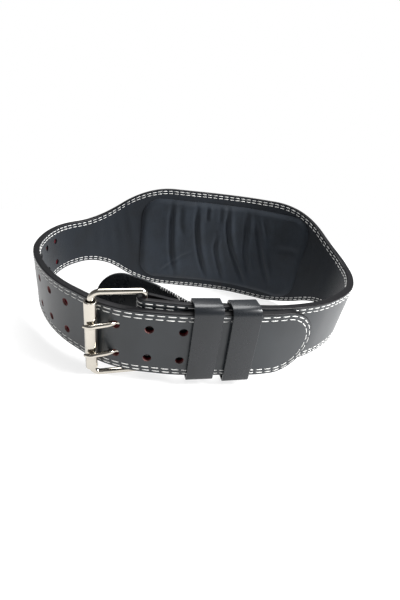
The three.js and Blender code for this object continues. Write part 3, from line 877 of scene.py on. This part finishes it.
def strip_rings(strip, straight, profile, relief=None):
    """Rings of the belt or the flap: straight on along the runs, then round its tip."""
    angles = np.linspace(0, math.pi / 2, TIP_STEPS + 1)
    runs = np.concatenate([straight, np.full(len(angles), strip.tip_centre)])
    turn = np.concatenate([np.zeros(len(straight)), angles])[:, None]
    halves = np.concatenate([strip.half_at(straight), np.full(len(angles), strip.tip_radius)])
    depth, inset, share = profile.T
    run = runs[:, None] + np.sin(turn) * (strip.tip_radius - inset)
    height = share * (halves[:, None] - inset) * np.cos(turn)
    depth = np.broadcast_to(depth, run.shape)
    if relief is not None:
        depth = depth + relief(run, height, depth)
    return strip.at(run, depth, height)


def strap_runs(belt, start):
    """Runs of the belt's rings, closer together round the fold."""
    runs = []
    if start < 0:
        runs.append(np.linspace(-belt.arc - FOLD_RETURN, -belt.arc, FOLD_STEPS, endpoint=False))
        runs.append(np.linspace(-belt.arc, 0.0, ARC_STEPS, endpoint=False))
        start = 0.0
    steps = int((belt.tip_centre - start) / STRIP_STEP)
    runs.append(np.linspace(start, belt.tip_centre, steps, endpoint=False))
    return np.concatenate(runs)


def tube(points, across, radii, sides, joined=False):
    """Rings round a line of points, which lies in a plane with the given normal."""
    count = len(points)
    if joined:
        along = np.roll(points, -1, axis=0) - np.roll(points, 1, axis=0)
    else:
        along = np.gradient(points, axis=0)
    normal = np.broadcast_to(across, (count, 3))
    side = np.cross(normal, unit(along))
    x, y = circle(1.0, sides).T
    radii = np.broadcast_to(radii, (count,))[:, None, None]
    spoke = side[:, None] * x[None, :, None] + normal[:, None] * y[None, :, None]
    return points[:, None] + spoke * radii


def hole_cutter(belt, material):
    """Drills for all the punched holes, as one object."""
    across, up = circle(belt.sizes.hole_diameter / 2, HOLE_SIDES).T
    middle = (HOLE_REACH - BELT_THICKNESS) / 2
    drills = []
    for pair in range(HOLE_PAIRS):
        run = belt.loop + FIRST_HOLE - pair * belt.sizes.hole_pitch
        origin, out = belt.axes(np.array([run]))
        along = -right_of(out[0])
        for side in (-1, 1):
            tall = side * HOLE_ROW_SPACING / 2 + up + belt.lift(run)
            rings = []
            for end in (-1, 1):
                flat = origin[0] + out[0] * (middle + end * HOLE_REACH) + along * across[:, None]
                rings.append(stand_up(flat, tall))
            drills.append(rings)
    return closed_tubes("Hole drills", np.array(drills), material)


class Buckle:
    """Places in the buckle's own axes: from the bar to the roller, outwards, and height."""

    def __init__(self, belt):
        self.belt = belt
        point, along, out = belt.plan(np.array([0.0]))
        self.bar = point[0] + out[0] * BAR_DEPTH
        self.to_roller = -along[0] * math.cos(FRAME_LEAN) + out[0] * math.sin(FRAME_LEAN)
        self.outwards = -right_of(self.to_roller)
        if self.outwards @ out[0] < 0:
            self.outwards = -self.outwards
        self.along = along[0]
        self.out = out[0]

    def at(self, reach, outwards, height):
        """Points of the row's frame."""
        reach, outwards, height = np.broadcast_arrays(reach, outwards, height)
        flat = self.bar + np.outer(reach, self.to_roller) + np.outer(outwards, self.outwards)
        return stand_up(flat, height.ravel())

    def local(self, flat):
        """Reach and outward distance of a flat point of the belt's own drawing."""
        away = flat - self.bar
        return np.array([away @ self.to_roller, away @ self.outwards])

    def direction(self, reach, outwards, height):
        """A direction of the buckle's axes, in the row's frame."""
        start = self.at(0.0, 0.0, 0.0)
        return (self.at(reach, outwards, height) - start)[0]

    def prong_line(self, steps):
        """Reach and outward distance along a prong's middle, from its eye to its tip."""
        eye = FRAME_WIRE / 2 + METAL_GAP + PRONG_WIRE / 2
        run = self.belt.loop + FIRST_HOLE - PRONG_PAIR * self.belt.sizes.hole_pitch
        origin, out = self.belt.axes(np.array([run]))
        reach, outwards = self.local(origin[0] - out[0] * BELT_THICKNESS / 2)
        over = ROLLER_DIAMETER / 2 + METAL_GAP + PRONG_WIRE / 2
        knots = list(arc((0.0, 0.0), eye, *PRONG_EYE)[0])
        for way, radii, share in PRONG_RISE:
            knots.append((reach * way, eye * radii + outwards * share))
        knots.append((reach, outwards))
        beyond = reach + (FRAME_LENGTH - reach) * PRONG_SPAN
        knots.append((beyond, outwards * PRONG_HOLE_SHARE + over * PRONG_ROLLER_SHARE))
        knots.extend(arc((FRAME_LENGTH, 0.0), over, *PRONG_OVER)[0])
        knots.append(knots[-1] + np.array([PRONG_TIP, -PRONG_DROP * PRONG_TIP]))
        line = line_through(np.array(knots), PRONG_LINE_STEPS)
        lengths = lengths_along(line)
        stops = np.linspace(0, lengths[-1], steps + 1)
        return on_line(stops, lengths, line)

    def prong_rings(self, height, radii, sides, steps=PRONG_STEPS):
        """Rings of a wire along a prong's line, at a height."""
        line = self.prong_line(steps)
        points = self.at(line[:, 0], line[:, 1], height)
        return tube(points, self.direction(0.0, 0.0, 1.0), radii, sides)


def slot_cutter(buckle, material):
    """Room for the prongs' eyes in the fold, as one object."""
    reach = FRAME_WIRE / 2 + METAL_GAP + PRONG_WIRE + 2 * METAL_GAP
    half = PRONG_WIRE / 2 + 2 * METAL_GAP
    corners = np.array([buckle.bar + reach * (buckle.along * u + buckle.out * v) for u, v in SQUARE])
    slots = []
    for side in (-1, 1):
        rings = []
        for end in (-1, 1):
            tall = np.full(len(corners), side * HOLE_ROW_SPACING / 2 + end * half)
            rings.append(stand_up(corners, tall))
        slots.append(rings)
    return closed_tubes("Slot cutter", np.array(slots), material)


def cut_openings(piece, belt, buckle, wall):
    """Punches the holes, the prongs' way through them and the slots of the fold."""
    carve(piece, hole_cutter(belt, wall))
    for side in (-1, 1):
        height = side * HOLE_ROW_SPACING / 2
        radius = PRONG_WIRE / 2 + PRONG_WAY_ROOM
        rings = buckle.prong_rings(height, radius, PRONG_WAY_SIDES, PRONG_WAY_STEPS)
        carve(piece, loft("Prong way", rings, [wall]))
    carve(piece, slot_cutter(buckle, wall))


# Stitches


def row_stops(belt, inset, start):
    """Runs and heights of a row: out along the lower edge, round the tip and back along the upper."""
    runs = np.linspace(start, belt.tip_centre, int((belt.tip_centre - start) / ROW_SAMPLE))
    halves = belt.half_at(runs) - inset
    low = np.column_stack([runs, -halves])
    high = np.column_stack([runs, halves])
    tip, _ = arc((belt.tip_centre, 0.0), belt.tip_radius - inset, -90, 90, TIP_ROW_STEPS)
    return np.concatenate([low, tip[1:-1], high[::-1]])


def stitch_points(belt, row, face, outwards):
    """Rings of the stitches of a row, one block of points for each stitch."""
    lengths = lengths_along(row)
    sizes = belt.sizes
    pitch = sizes.stitch_length + sizes.stitch_gap
    count = int(lengths[-1] / pitch)
    starts = (np.arange(count) + 0.5) * lengths[-1] / count - sizes.stitch_length / 2
    shape = np.array(STITCH_SHAPE)
    where = starts[:, None] + shape[:, 0] * sizes.stitch_length
    centre = on_line(where, lengths, row)
    side = -right_of(on_line(where, lengths, unit(np.gradient(row, axis=0))))
    x, y = circle(1.0, THREAD_SIDES).T
    width = shape[:, 1] * sizes.thread_width / 2
    across = width[None, :, None] * x
    rise = shape[:, 2] * THREAD_HEIGHT
    high = rise[None, :, None] + shape[None, :, 1, None] * THREAD_HEIGHT / 2 * y
    run = centre[..., 0, None] + side[..., 0, None] * across
    height = centre[..., 1, None] + side[..., 1, None] * across
    depth = face + outwards * high
    return belt.at(run, depth, height)


def sew(name, stitches):
    """Makes thread of an array of stitches, and fixes it to the part."""
    piece = closed_tubes(name, stitches, finish("thread"), sharp=math.pi, merge=0.0)
    finish_piece(piece, None)


# Flap


class Flap:
    """Places on the shield flap: a run from where it leaves the belt, a depth and a height."""

    def __init__(self, belt):
        self.belt = belt
        self.tip_radius = STRAP_WIDTH / 2
        self.middle = -BELT_THICKNESS + (BELT_THICKNESS + CORE_INSIDE) / 2
        point, along, out = belt.plan(np.array([FLAP_LEAVES]))
        leave = point[0] + out[0] * self.middle
        tip = leave - along[0] * FLAP_REACH - out[0] * FLAP_SET_IN
        handles = (leave, leave - along[0] * FLAP_START_HANDLE, tip + along[0] * FLAP_END_HANDLE, tip)
        t = np.linspace(0, 1, FLAP_SAMPLES)[:, None]
        weights = ((1 - t) ** 3, 3 * t * (1 - t) ** 2, 3 * t**2 * (1 - t), t**3)
        self.line = sum(w * h for w, h in zip(weights, handles))
        self.lengths = lengths_along(self.line)
        self.length = self.lengths[-1]
        self.tip_centre = self.length - self.tip_radius
        self.along = unit(-np.gradient(self.line, axis=0))

    def half_at(self, run):
        """Half the flap's width at each run."""
        return np.full(len(run), self.tip_radius)

    def at(self, run, depth, height):
        """Points of the row's frame, in the shape of the arrays handed in."""
        run, depth, height = np.broadcast_arrays(run, depth, height)
        shape = run.shape
        run, depth, height = run.ravel(), depth.ravel(), height.ravel()
        flat = on_line(run, self.lengths, self.line)
        side = right_of(on_line(run, self.lengths, self.along))
        root, _, out = self.belt.plan(FLAP_LEAVES - run)
        inside = (run < 0)[:, None]
        flat = np.where(inside, root + out * self.middle, flat)
        side = np.where(inside, out, side)
        cup = FLAP_CUP * (height / self.tip_radius) ** 2 * ease(run / self.length)
        flat = flat + side * (depth + cup)[:, None]
        lift = self.belt.lift(np.array([FLAP_LEAVES]))
        return stand_up(flat, height + lift).reshape(*shape, 3)


# Pad


def line_distance(x, y, line):
    """Distance of places from a line of points, below zero on its right, and the share along it."""
    lengths = lengths_along(line)
    nearest = np.full(np.shape(x), np.inf)
    share = np.zeros(np.shape(x))
    for first, last, before, after in zip(line[:-1], line[1:], lengths[:-1], lengths[1:]):
        step = last - first
        along = ((x - first[0]) * step[0] + (y - first[1]) * step[1]) / (step @ step)
        along = np.clip(along, 0.0, 1.0)
        away = np.hypot(x - first[0] - along * step[0], y - first[1] - along * step[1])
        side = np.sign(step[0] * (y - first[1]) - step[1] * (x - first[0]))
        closer = away < np.abs(nearest)
        nearest = np.where(closer, away * np.where(side < 0, -1, 1), nearest)
        share = np.where(closer, (before + along * (after - before)) / lengths[-1], share)
    return nearest, share


def crease_depth(offset, height):
    """Depth of the pad's creases at places on it, as a share of the wrinkle depth."""
    depth = np.zeros_like(offset)
    for places, width, share in CREASES:
        line = line_through(np.array(places) * MM, CREASE_LINE_STEPS)
        away, along = line_distance(offset, height, line)
        away = away / (width * MM)
        groove = np.exp(-(away**2))
        right = np.exp(-(((away + RIDGE_AWAY) / RIDGE_WIDTH) ** 2))
        left = np.exp(-(((away - RIDGE_AWAY) / RIDGE_WIDTH) ** 2))
        fade = ease(along / CREASE_FADE) * ease((1 - along) / CREASE_FADE)
        fade = CREASE_END + (1 - CREASE_END) * fade
        depth += share * fade * (groove - RIGHT_RIDGE * right - LEFT_RIDGE * left)
    return depth


def pad_swell(offset):
    """Broad soft folds of the pad between its creases, as a share of its thickness."""
    return sum(height * np.sin(offset / length + phase) for height, length, phase in PAD_SWELLS)


def pad_rings(belt):
    """Rings of the crowned pad on the lining, with its creases."""
    reach = PAD_LENGTH / 2
    ends = PAD_CORNER * (1 - np.cos(np.linspace(0, math.pi / 2, PAD_END_STEPS))) - reach
    steps = int((PAD_LENGTH - 2 * PAD_CORNER) / PAD_STEP)
    middle = np.linspace(PAD_CORNER - reach, reach - PAD_CORNER, steps)[1:-1]
    stops = np.concatenate([ends, middle, -ends[::-1]])[:, None]
    cut = np.maximum(0.0, PAD_CORNER - (reach - np.abs(stops)))
    halves = PAD_HEIGHT / 2 - PAD_CORNER + np.sqrt(np.maximum(PAD_CORNER**2 - cut**2, 0.0))
    share = np.sin(np.linspace(-math.pi / 2, math.pi / 2, PAD_COLUMNS + 1))
    height = share * halves
    offset = np.broadcast_to(stops, height.shape)
    centre = belt.back + PAD_SHIFT
    to_end = reach - np.abs(offset)
    to_side = PAD_HEIGHT / 2 - np.abs(height)
    corner = np.hypot(np.maximum(PAD_CORNER - to_end, 0), np.maximum(PAD_CORNER - to_side, 0))
    in_corner = (to_end < PAD_CORNER) & (to_side < PAD_CORNER)
    inset = np.where(in_corner, PAD_CORNER - corner, np.minimum(to_end, to_side))
    crown = np.sin(math.pi / 2 * np.clip(inset / PAD_EDGE, 0.0, 1.0))
    thickness = belt.sizes.pad_thickness
    rise = thickness * (PAD_RIM + (1 - PAD_RIM) * crown)
    soft = ease(inset / PAD_EDGE)
    creased = crease_depth(offset + PAD_SHIFT, height)
    rise = rise - belt.sizes.wrinkle_depth * creased * (CREASE_RIM + (1 - CREASE_RIM) * soft)
    rise = rise + thickness * pad_swell(offset) * soft
    top = belt.at(centre + offset, -BELT_THICKNESS - rise, height)
    base = np.stack([halves[:, 0], -halves[:, 0]], 1)
    runs = np.broadcast_to(centre + stops, base.shape)
    bottom = belt.at(runs, np.full(base.shape, -BELT_THICKNESS), base)
    return np.concatenate([top, bottom], axis=1)


def lining_relief(belt):
    """Soft rumples of the lining beside the pad."""

    def relief(run, height, depth):
        offset = run - belt.back
        bumps = np.zeros_like(run)
        for centre, middle, width, tall, lean, share in RUMPLES:
            x = (offset - centre * MM - lean * (height - middle * MM)) / (width * MM)
            y = (height - middle * MM) / (tall * MM)
            bumps += share * np.exp(-x * x) * np.exp(-y * y)
        inner = depth < CORE_INSIDE - EDGE_ROUND
        return np.where(inner, -RUMPLE_DEPTH * bumps, 0.0)

    return relief


# Keepers


def keeper_line(left, right, low, high):
    """Points and outward normals round the inside of a keeper, with its round shoulder."""
    corners = (
        (right, low, KEEPER_CORNER, -90),
        (right, high, KEEPER_SHOULDER, 0),
        (left, high, KEEPER_CORNER, 90),
        (left, low, KEEPER_CORNER, 180),
    )
    places = []
    for x, y, radius, turn in corners:
        centre = (x - radius if x == right else x + radius, y - radius if y == high else y + radius)
        places.append(np.hstack(arc(centre, radius, turn, turn + 90, KEEPER_CORNER_STEPS)))
    places = np.concatenate(places)
    line = []
    for place, following in zip(places, np.roll(places, -1, axis=0)):
        side = following[:2] - place[:2]
        pieces = max(1, int(np.linalg.norm(side) / KEEPER_STEP))
        for k in range(pieces):
            line.append((*(place[:2] + side * k / pieces), *place[2:]))
    line = np.array(line)
    return line[:, :2], line[:, 2:]


def keeper_section(width):
    """Ring of a flat band's section: thickness outwards and place across, with round edges."""
    half = KEEPER_THICKNESS / 2
    ring = []
    for sx, sy, turn in ((1, 1, 0), (-1, 1, 90), (-1, -1, 180), (1, -1, 270)):
        centre = (half + sx * (half - KEEPER_ROUND), sy * (width / 2 - KEEPER_ROUND))
        ring.append(arc(centre, KEEPER_ROUND, turn, turn + 90, EDGE_STEPS + 1)[0])
    return np.concatenate(ring)


def keeper_rings(belt, station, lean, slack):
    """Rings of a keeper loop round both layers of the strap."""
    turn = math.radians(lean)
    tilted = KEEPER_WIDTH / 2 * abs(math.sin(turn))
    left = -BELT_THICKNESS - KEEPER_CLEARANCE
    right = TONGUE_SHIFT + KEEPER_CLEARANCE
    run = np.array([station])
    low = -belt.half_width(belt.loop + run)[0] - METAL_GAP - tilted - KEEPER_SLACK * slack
    high = belt.half_width(run)[0] + belt.lift(run)[0] + KEEPER_TOP_CLEARANCE + tilted
    points, normals = keeper_line(left, right, low, high)
    middle = (low + high) / 2
    bow = KEEPER_BOW * np.clip(1 - ((points[:, 1] - middle) / ((high - low) / 2)) ** 2, 0.0, 1.0)
    points = points + np.column_stack([bow * (points[:, 0] > right - METAL_GAP), np.zeros(len(bow))])
    section = keeper_section(belt.sizes.keeper_width)
    flat = points[:, None] + normals[:, None] * section[None, :, :1]
    across = np.broadcast_to(section[:, 1], flat.shape[:2])
    origin, along, out = (np.append(value[0], 0.0) for value in belt.plan(run))
    up = np.array([0.0, 0.0, 1.0]) * math.cos(turn) + along * math.sin(turn)
    side = np.cross(out, up)
    place = origin + flat[..., :1] * out + flat[..., 1:2] * up + across[..., None] * side
    return stand_up(place[..., :2].reshape(-1, 2), place[..., 2].ravel()).reshape(*place.shape)


# Operators, one for each piece or group of like pieces


class BELT_OT_plies(bpy.types.Operator):
    """Builds the three plies of the belt with their fold, edges and holes."""

    bl_idname = "belt.plies"
    bl_label = "Plies"

    def execute(self, context):
        belt = Belt(context.scene.belt_sizes)
        buckle = Buckle(belt)
        fold_end = -belt.arc - FOLD_RETURN
        plies = (
            # node, slot, start, outer depth, inner depth, rounded faces, face finish, wall finish
            ("belt_outer_leather", "outer_leather", fold_end, 0.0, OUTER_INSIDE, (EDGE_ROUND, 0.0),
             "outer_leather", "fibre"),
            ("belt_core", "core_fibre", fold_end, OUTER_INSIDE, CORE_INSIDE, (0.0, 0.0), "core", "core"),
            ("belt_lining", "lining_leather", LINING_START, CORE_INSIDE, -BELT_THICKNESS, (0.0, EDGE_ROUND),
             "lining", "edge"),
        )
        for node, slot, start, outer, inner, rounded, face, wall in plies:
            columns = LINING_COLUMNS if node == "belt_lining" else FACE_COLUMNS
            relief = lining_relief(belt) if node == "belt_lining" else None
            profile, on_edge = ply_profile(outer, inner, *rounded, columns)
            runs = strap_runs(belt, start)
            rings = strip_rings(belt, runs, profile, relief)
            segments = np.tile(on_edge, (len(rings), 1))
            if node == "belt_core":
                segments[:len(runs)][runs > CORE_SEEN] = 1
                segments[len(runs):] = 1
                segments[:FOLD_STEPS] = 1
            materials = [finish(face), finish("edge")]
            piece = loft(node + "_visual", rings, materials, segments, caps=(True, False))
            cut_openings(piece, belt, buckle, finish(wall))
            finish_piece(piece, slot, node)
        return {"FINISHED"}


class BELT_OT_stitches(bpy.types.Operator):
    """Sews the double rows of white stitches round the outer face and the lining."""

    bl_idname = "belt.stitches"
    bl_label = "Stitches"

    def execute(self, context):
        belt = Belt(context.scene.belt_sizes)
        rows = (
            ("outer_stitches", 0.0, 1.0, -belt.arc * FOLD_STITCHED),
            ("lining_stitches", -BELT_THICKNESS, -1.0, LINING_START),
        )
        for name, face, outwards, start in rows:
            blocks = []
            for inset in STITCH_ROWS:
                row = row_stops(belt, inset, start)
                blocks.append(stitch_points(belt, row, face, outwards))
            sew(name, np.concatenate(blocks))
        return {"FINISHED"}


class BELT_OT_whipping(bpy.types.Operator):
    """Whips thread over the flap's top edge by its root, and leaves one end of thread loose."""

    bl_idname = "belt.whipping"
    bl_label = "Whipped stitches"

    def execute(self, context):
        flap = Flap(Belt(context.scene.belt_sizes))
        top = flap.tip_radius - FLAP_ROUND
        starts = np.arange(WHIP_START, WHIP_END, WHIP_PITCH)
        sew("flap_whipping", np.array([self.whip(flap, start, top) for start in starts]))
        finish_piece(self.loose_end(flap, top), None)
        return {"FINISHED"}

    def whip(self, flap, start, top):
        """One slanting stitch from the flap's outer face over its top edge."""
        lean, face, rise, down, over = np.array(WHIP_PATH).T
        depth = face * FLAP_THICKNESS / 2 + rise * THREAD_HEIGHT
        height = top - down * WHIP_REACH + over * (FLAP_ROUND + THREAD_HEIGHT / 4)
        points = flap.at(start + lean * WHIP_LEAN, depth, height)
        near, far = flap.at(np.array([start, start + MM]), 0.0, top)
        return tube(points, unit(far - near), WHIP_THREAD / 2, THREAD_SIDES)

    def loose_end(self, flap, top):
        """A short loose end of thread that stands up over the flap's edge."""
        line = line_through(np.array(LOOSE_THREAD) * MM, LOOSE_LINE_STEPS)
        points = flap.at(LOOSE_RUN + line[:, 0], line[:, 1], top + line[:, 2])
        rings = tube(points, (1.0, 0.0, 0.0), WHIP_THREAD / 2, THREAD_SIDES)
        return loft("loose_thread", rings, [finish("thread")])


class BELT_OT_pad(bpy.types.Operator):
    """Builds the creased lumbar pad."""

    bl_idname = "belt.pad"
    bl_label = "Lumbar pad"

    def execute(self, context):
        rings = pad_rings(Belt(context.scene.belt_sizes))
        piece = loft("lumbar_pad_visual", rings, [finish("pad")], sharp=PAD_SHARP)
        finish_piece(piece, "pad_leather", "lumbar_pad")
        return {"FINISHED"}


class BELT_OT_flap(bpy.types.Operator):
    """Builds the shield flap behind the buckle."""

    bl_idname = "belt.flap"
    bl_label = "Shield flap"

    def execute(self, context):
        belt = Belt(context.scene.belt_sizes)
        flap = Flap(belt)
        half = FLAP_THICKNESS / 2
        over = face_points(half, -1, -1, FLAP_ROUND, False, FLAP_COLUMNS)
        back = face_points(-half, 1, 1, FLAP_ROUND, False, FLAP_COLUMNS)
        profile = np.array(over + back)
        start = FLAP_LEAVES - LINING_START
        steps = int((flap.tip_centre - start) / FLAP_STEP)
        runs = np.linspace(start, flap.tip_centre, steps, endpoint=False)
        rings = strip_rings(flap, runs, profile)
        piece = loft("shield_flap_visual", rings, [finish("smooth")], caps=(True, False))
        finish_piece(piece, "flap_leather", "shield_flap")
        return {"FINISHED"}


class BELT_OT_keepers(bpy.types.Operator):
    """Builds the two keeper loops."""

    bl_idname = "belt.keepers"
    bl_label = "Keepers"

    def execute(self, context):
        belt = Belt(context.scene.belt_sizes)
        for order, (node, lean, slack) in enumerate(KEEPERS):
            rings = keeper_rings(belt, FIRST_KEEPER + order * KEEPER_SPACING, lean, slack)
            piece = loft(node + "_visual", rings, [finish("smooth")], joined=True)
            finish_piece(piece, "keeper_leather", node)
        return {"FINISHED"}


class BELT_OT_buckle(bpy.types.Operator):
    """Builds the buckle's frame, roller and prongs."""

    bl_idname = "belt.buckle"
    bl_label = "Buckle"

    def execute(self, context):
        buckle = Buckle(Belt(context.scene.belt_sizes))
        metal = finish("metal")
        self.make_frame(buckle, metal)
        self.make_roller(buckle, metal)
        for name, side in (("prong_upper", 1), ("prong_lower", -1)):
            self.make_prong(buckle, name, side, metal)
        return {"FINISHED"}

    def make_frame(self, buckle, metal):
        """A rounded rectangle of wire, with tight corners by the bar and wide ones by the roller."""
        half = FRAME_HEIGHT / 2
        corners = (
            (BAR_CORNER, half - BAR_CORNER, BAR_CORNER, 180, 90),
            (FRAME_LENGTH - ROLLER_CORNER, half - ROLLER_CORNER, ROLLER_CORNER, 90, 0),
            (FRAME_LENGTH - ROLLER_CORNER, ROLLER_CORNER - half, ROLLER_CORNER, 0, -90),
            (BAR_CORNER, BAR_CORNER - half, BAR_CORNER, -90, -180),
        )
        arcs = [arc((x, y), radius, start, end, CORNER_STEPS)[0] for x, y, radius, start, end in corners]
        outline = np.concatenate(arcs)
        points = buckle.at(outline[:, 0], 0.0, FRAME_RISE + outline[:, 1])
        radius = buckle.belt.sizes.frame_wire / 2
        rings = tube(points, buckle.direction(0.0, 1.0, 0.0), radius, WIRE_SIDES, joined=True)
        piece = loft("buckle_frame_visual", rings, [metal], joined=True)
        finish_piece(piece, "nickel", "buckle_frame")

    def make_roller(self, buckle, metal):
        """A tube with rounded ends, open so that the wire shows inside it."""
        half = FRAME_HEIGHT / 2 - ROLLER_CORNER - METAL_GAP
        outer = ROLLER_DIAMETER / 2
        inner = outer - ROLLER_WALL
        profile = [(inner, -half)]
        for side, turn in ((-1, -90), (1, 0)):
            centre = (outer - ROLLER_ROUND, side * (half - ROLLER_ROUND))
            profile.extend(arc(centre, ROLLER_ROUND, turn, turn + 90, EDGE_STEPS + 1)[0])
        profile.append((inner, half))
        rings = []
        for radius, height in profile:
            x, y = circle(radius, ROLLER_SIDES).T
            rings.append(buckle.at(FRAME_LENGTH + x, y, FRAME_RISE + height))
        piece = loft("buckle_roller_visual", np.array(rings + rings[:1]), [metal], caps=(False, False))
        finish_piece(piece, "nickel", "buckle_roller")

    def make_prong(self, buckle, name, side, metal):
        """A bent wire with a round eye and a tapered tip."""
        share = np.linspace(0, 1, PRONG_STEPS + 1)
        taper = 1 - PRONG_TAPER * ease((share - 1) / PRONG_TAPER_SHARE + 1) ** 2
        root = PRONG_ROOT + (1 - PRONG_ROOT) * ease(share / PRONG_ROOT_SHARE)
        radii = PRONG_WIRE / 2 * taper * root
        rings = buckle.prong_rings(side * HOLE_ROW_SPACING / 2, radii, WIRE_SIDES)
        piece = loft(name + "_visual", rings, [metal])
        finish_piece(piece, "nickel", name)


class BELT_OT_stage(bpy.types.Operator):
    """Sets the floor, the lights and the camera."""

    bl_idname = "belt.stage"
    bl_label = "Stage"

    def execute(self, context):
        scene = context.scene
        self.make_floor(scene)
        self.make_world(scene)
        for name, place, size, power in SOFTBOXES:
            self.make_light(scene, name, place, size, power)
        self.make_camera(scene)
        scene.view_settings.view_transform = "Standard"
        return {"FINISHED"}

    def make_floor(self, scene):
        """A wide plain floor under the belt."""
        corners = np.array([(x, y, 0) for x, y in SQUARE]) * FLOOR_REACH
        floor = new_mesh("studio_floor", corners, [(0, 1, 2, 3)], [finish("floor")])

    def make_world(self, scene):
        """A white surround, whose light on the belt comes mostly from low down."""
        world = bpy.data.worlds.new("White surround")
        tree = Tree(world)
        facing = tree.node("ShaderNodeTexCoord", output="Generated")
        upwards = tree.node("ShaderNodeSeparateXYZ", {}, {0: facing}, output="Z")
        glow = tree.ramp(upwards, *SURROUND)
        seen = tree.node("ShaderNodeLightPath", output="Is Camera Ray")
        white = tree.node("ShaderNodeBackground", {}, {"Color": (1.0, 1.0, 1.0, 1.0), "Strength": 1.0})
        around = tree.node("ShaderNodeBackground", {}, {"Color": glow, "Strength": 1.0})
        mixed = tree.node("ShaderNodeMixShader", {}, {0: seen, 1: around, 2: white})
        tree.node("ShaderNodeOutputWorld", {}, {"Surface": mixed}, output=None)
        scene.world = world

    def make_light(self, scene, name, place, size, power):
        """A square light that faces the belt."""
        data = bpy.data.lights.new(name, "AREA")
        data.size = size
        data.energy = power
        light = bpy.data.objects.new(name, data)
        light.location = place
        towards = LIGHT_TARGET - Vector(place)
        light.rotation_euler = towards.to_track_quat("-Z", "Y").to_euler()
        scene.collection.objects.link(light)

    def make_camera(self, scene):
        """The photograph's viewpoint."""
        data = bpy.data.cameras.new("Photo camera")
        data.sensor_width = SENSOR
        data.lens = FOCAL_PIXELS * SENSOR / IMAGE_HEIGHT
        data.shift_x = (IMAGE_WIDTH / 2 - PRINCIPAL_POINT[0]) / IMAGE_HEIGHT
        data.shift_y = (PRINCIPAL_POINT[1] - IMAGE_HEIGHT / 2) / IMAGE_HEIGHT
        data.clip_start = CAMERA_CLIP
        camera = bpy.data.objects.new("Photo camera", data)
        forward = CAMERA_FORWARD.normalized()
        right = (CAMERA_RIGHT - forward * CAMERA_RIGHT.dot(forward)).normalized()
        up = right.cross(forward)
        turn = Matrix((right, up, -forward)).transposed()
        camera.matrix_world = Matrix.Translation(CAMERA_PLACE) @ turn.to_4x4()
        scene.collection.objects.link(camera)
        scene.camera = camera


class BELT_PT_sidebar(bpy.types.Panel):
    """Sizes, colours and pieces of the lifting belt."""

    bl_idname = "BELT_PT_sidebar"
    bl_label = "Lifting Belt"
    bl_space_type = "VIEW_3D"
    bl_region_type = "UI"
    bl_category = "Lifting Belt"

    def draw(self, context):
        for group in (context.scene.belt_sizes, context.scene.belt_colours):
            box = self.layout.box()
            for name in group.__annotations__:
                box.prop(group, name)
        for step in STEPS:
            self.layout.operator(step.bl_idname)


STEPS = (
    BELT_OT_plies,
    BELT_OT_stitches,
    BELT_OT_whipping,
    BELT_OT_pad,
    BELT_OT_flap,
    BELT_OT_keepers,
    BELT_OT_buckle,
    BELT_OT_stage,
)
CLASSES = (BeltSizes, BeltColours, *STEPS, BELT_PT_sidebar)


def register():
    """Registers the classes and hangs the properties on the scene."""
    for cls in CLASSES:
        bpy.utils.register_class(cls)
    bpy.types.Scene.belt_sizes = PointerProperty(type=BeltSizes)
    bpy.types.Scene.belt_colours = PointerProperty(type=BeltColours)


def unregister():
    """Takes everything off again."""
    del bpy.types.Scene.belt_colours
    del bpy.types.Scene.belt_sizes
    for cls in reversed(CLASSES):
        bpy.utils.unregister_class(cls)


def main():
    """Builds every piece in order."""
    register()
    bpy.ops.belt.plies()
    bpy.ops.belt.stitches()
    bpy.ops.belt.whipping()
    bpy.ops.belt.pad()
    bpy.ops.belt.flap()
    bpy.ops.belt.keepers()
    bpy.ops.belt.buckle()
    bpy.ops.belt.stage()


if __name__ == "__main__":
    main()
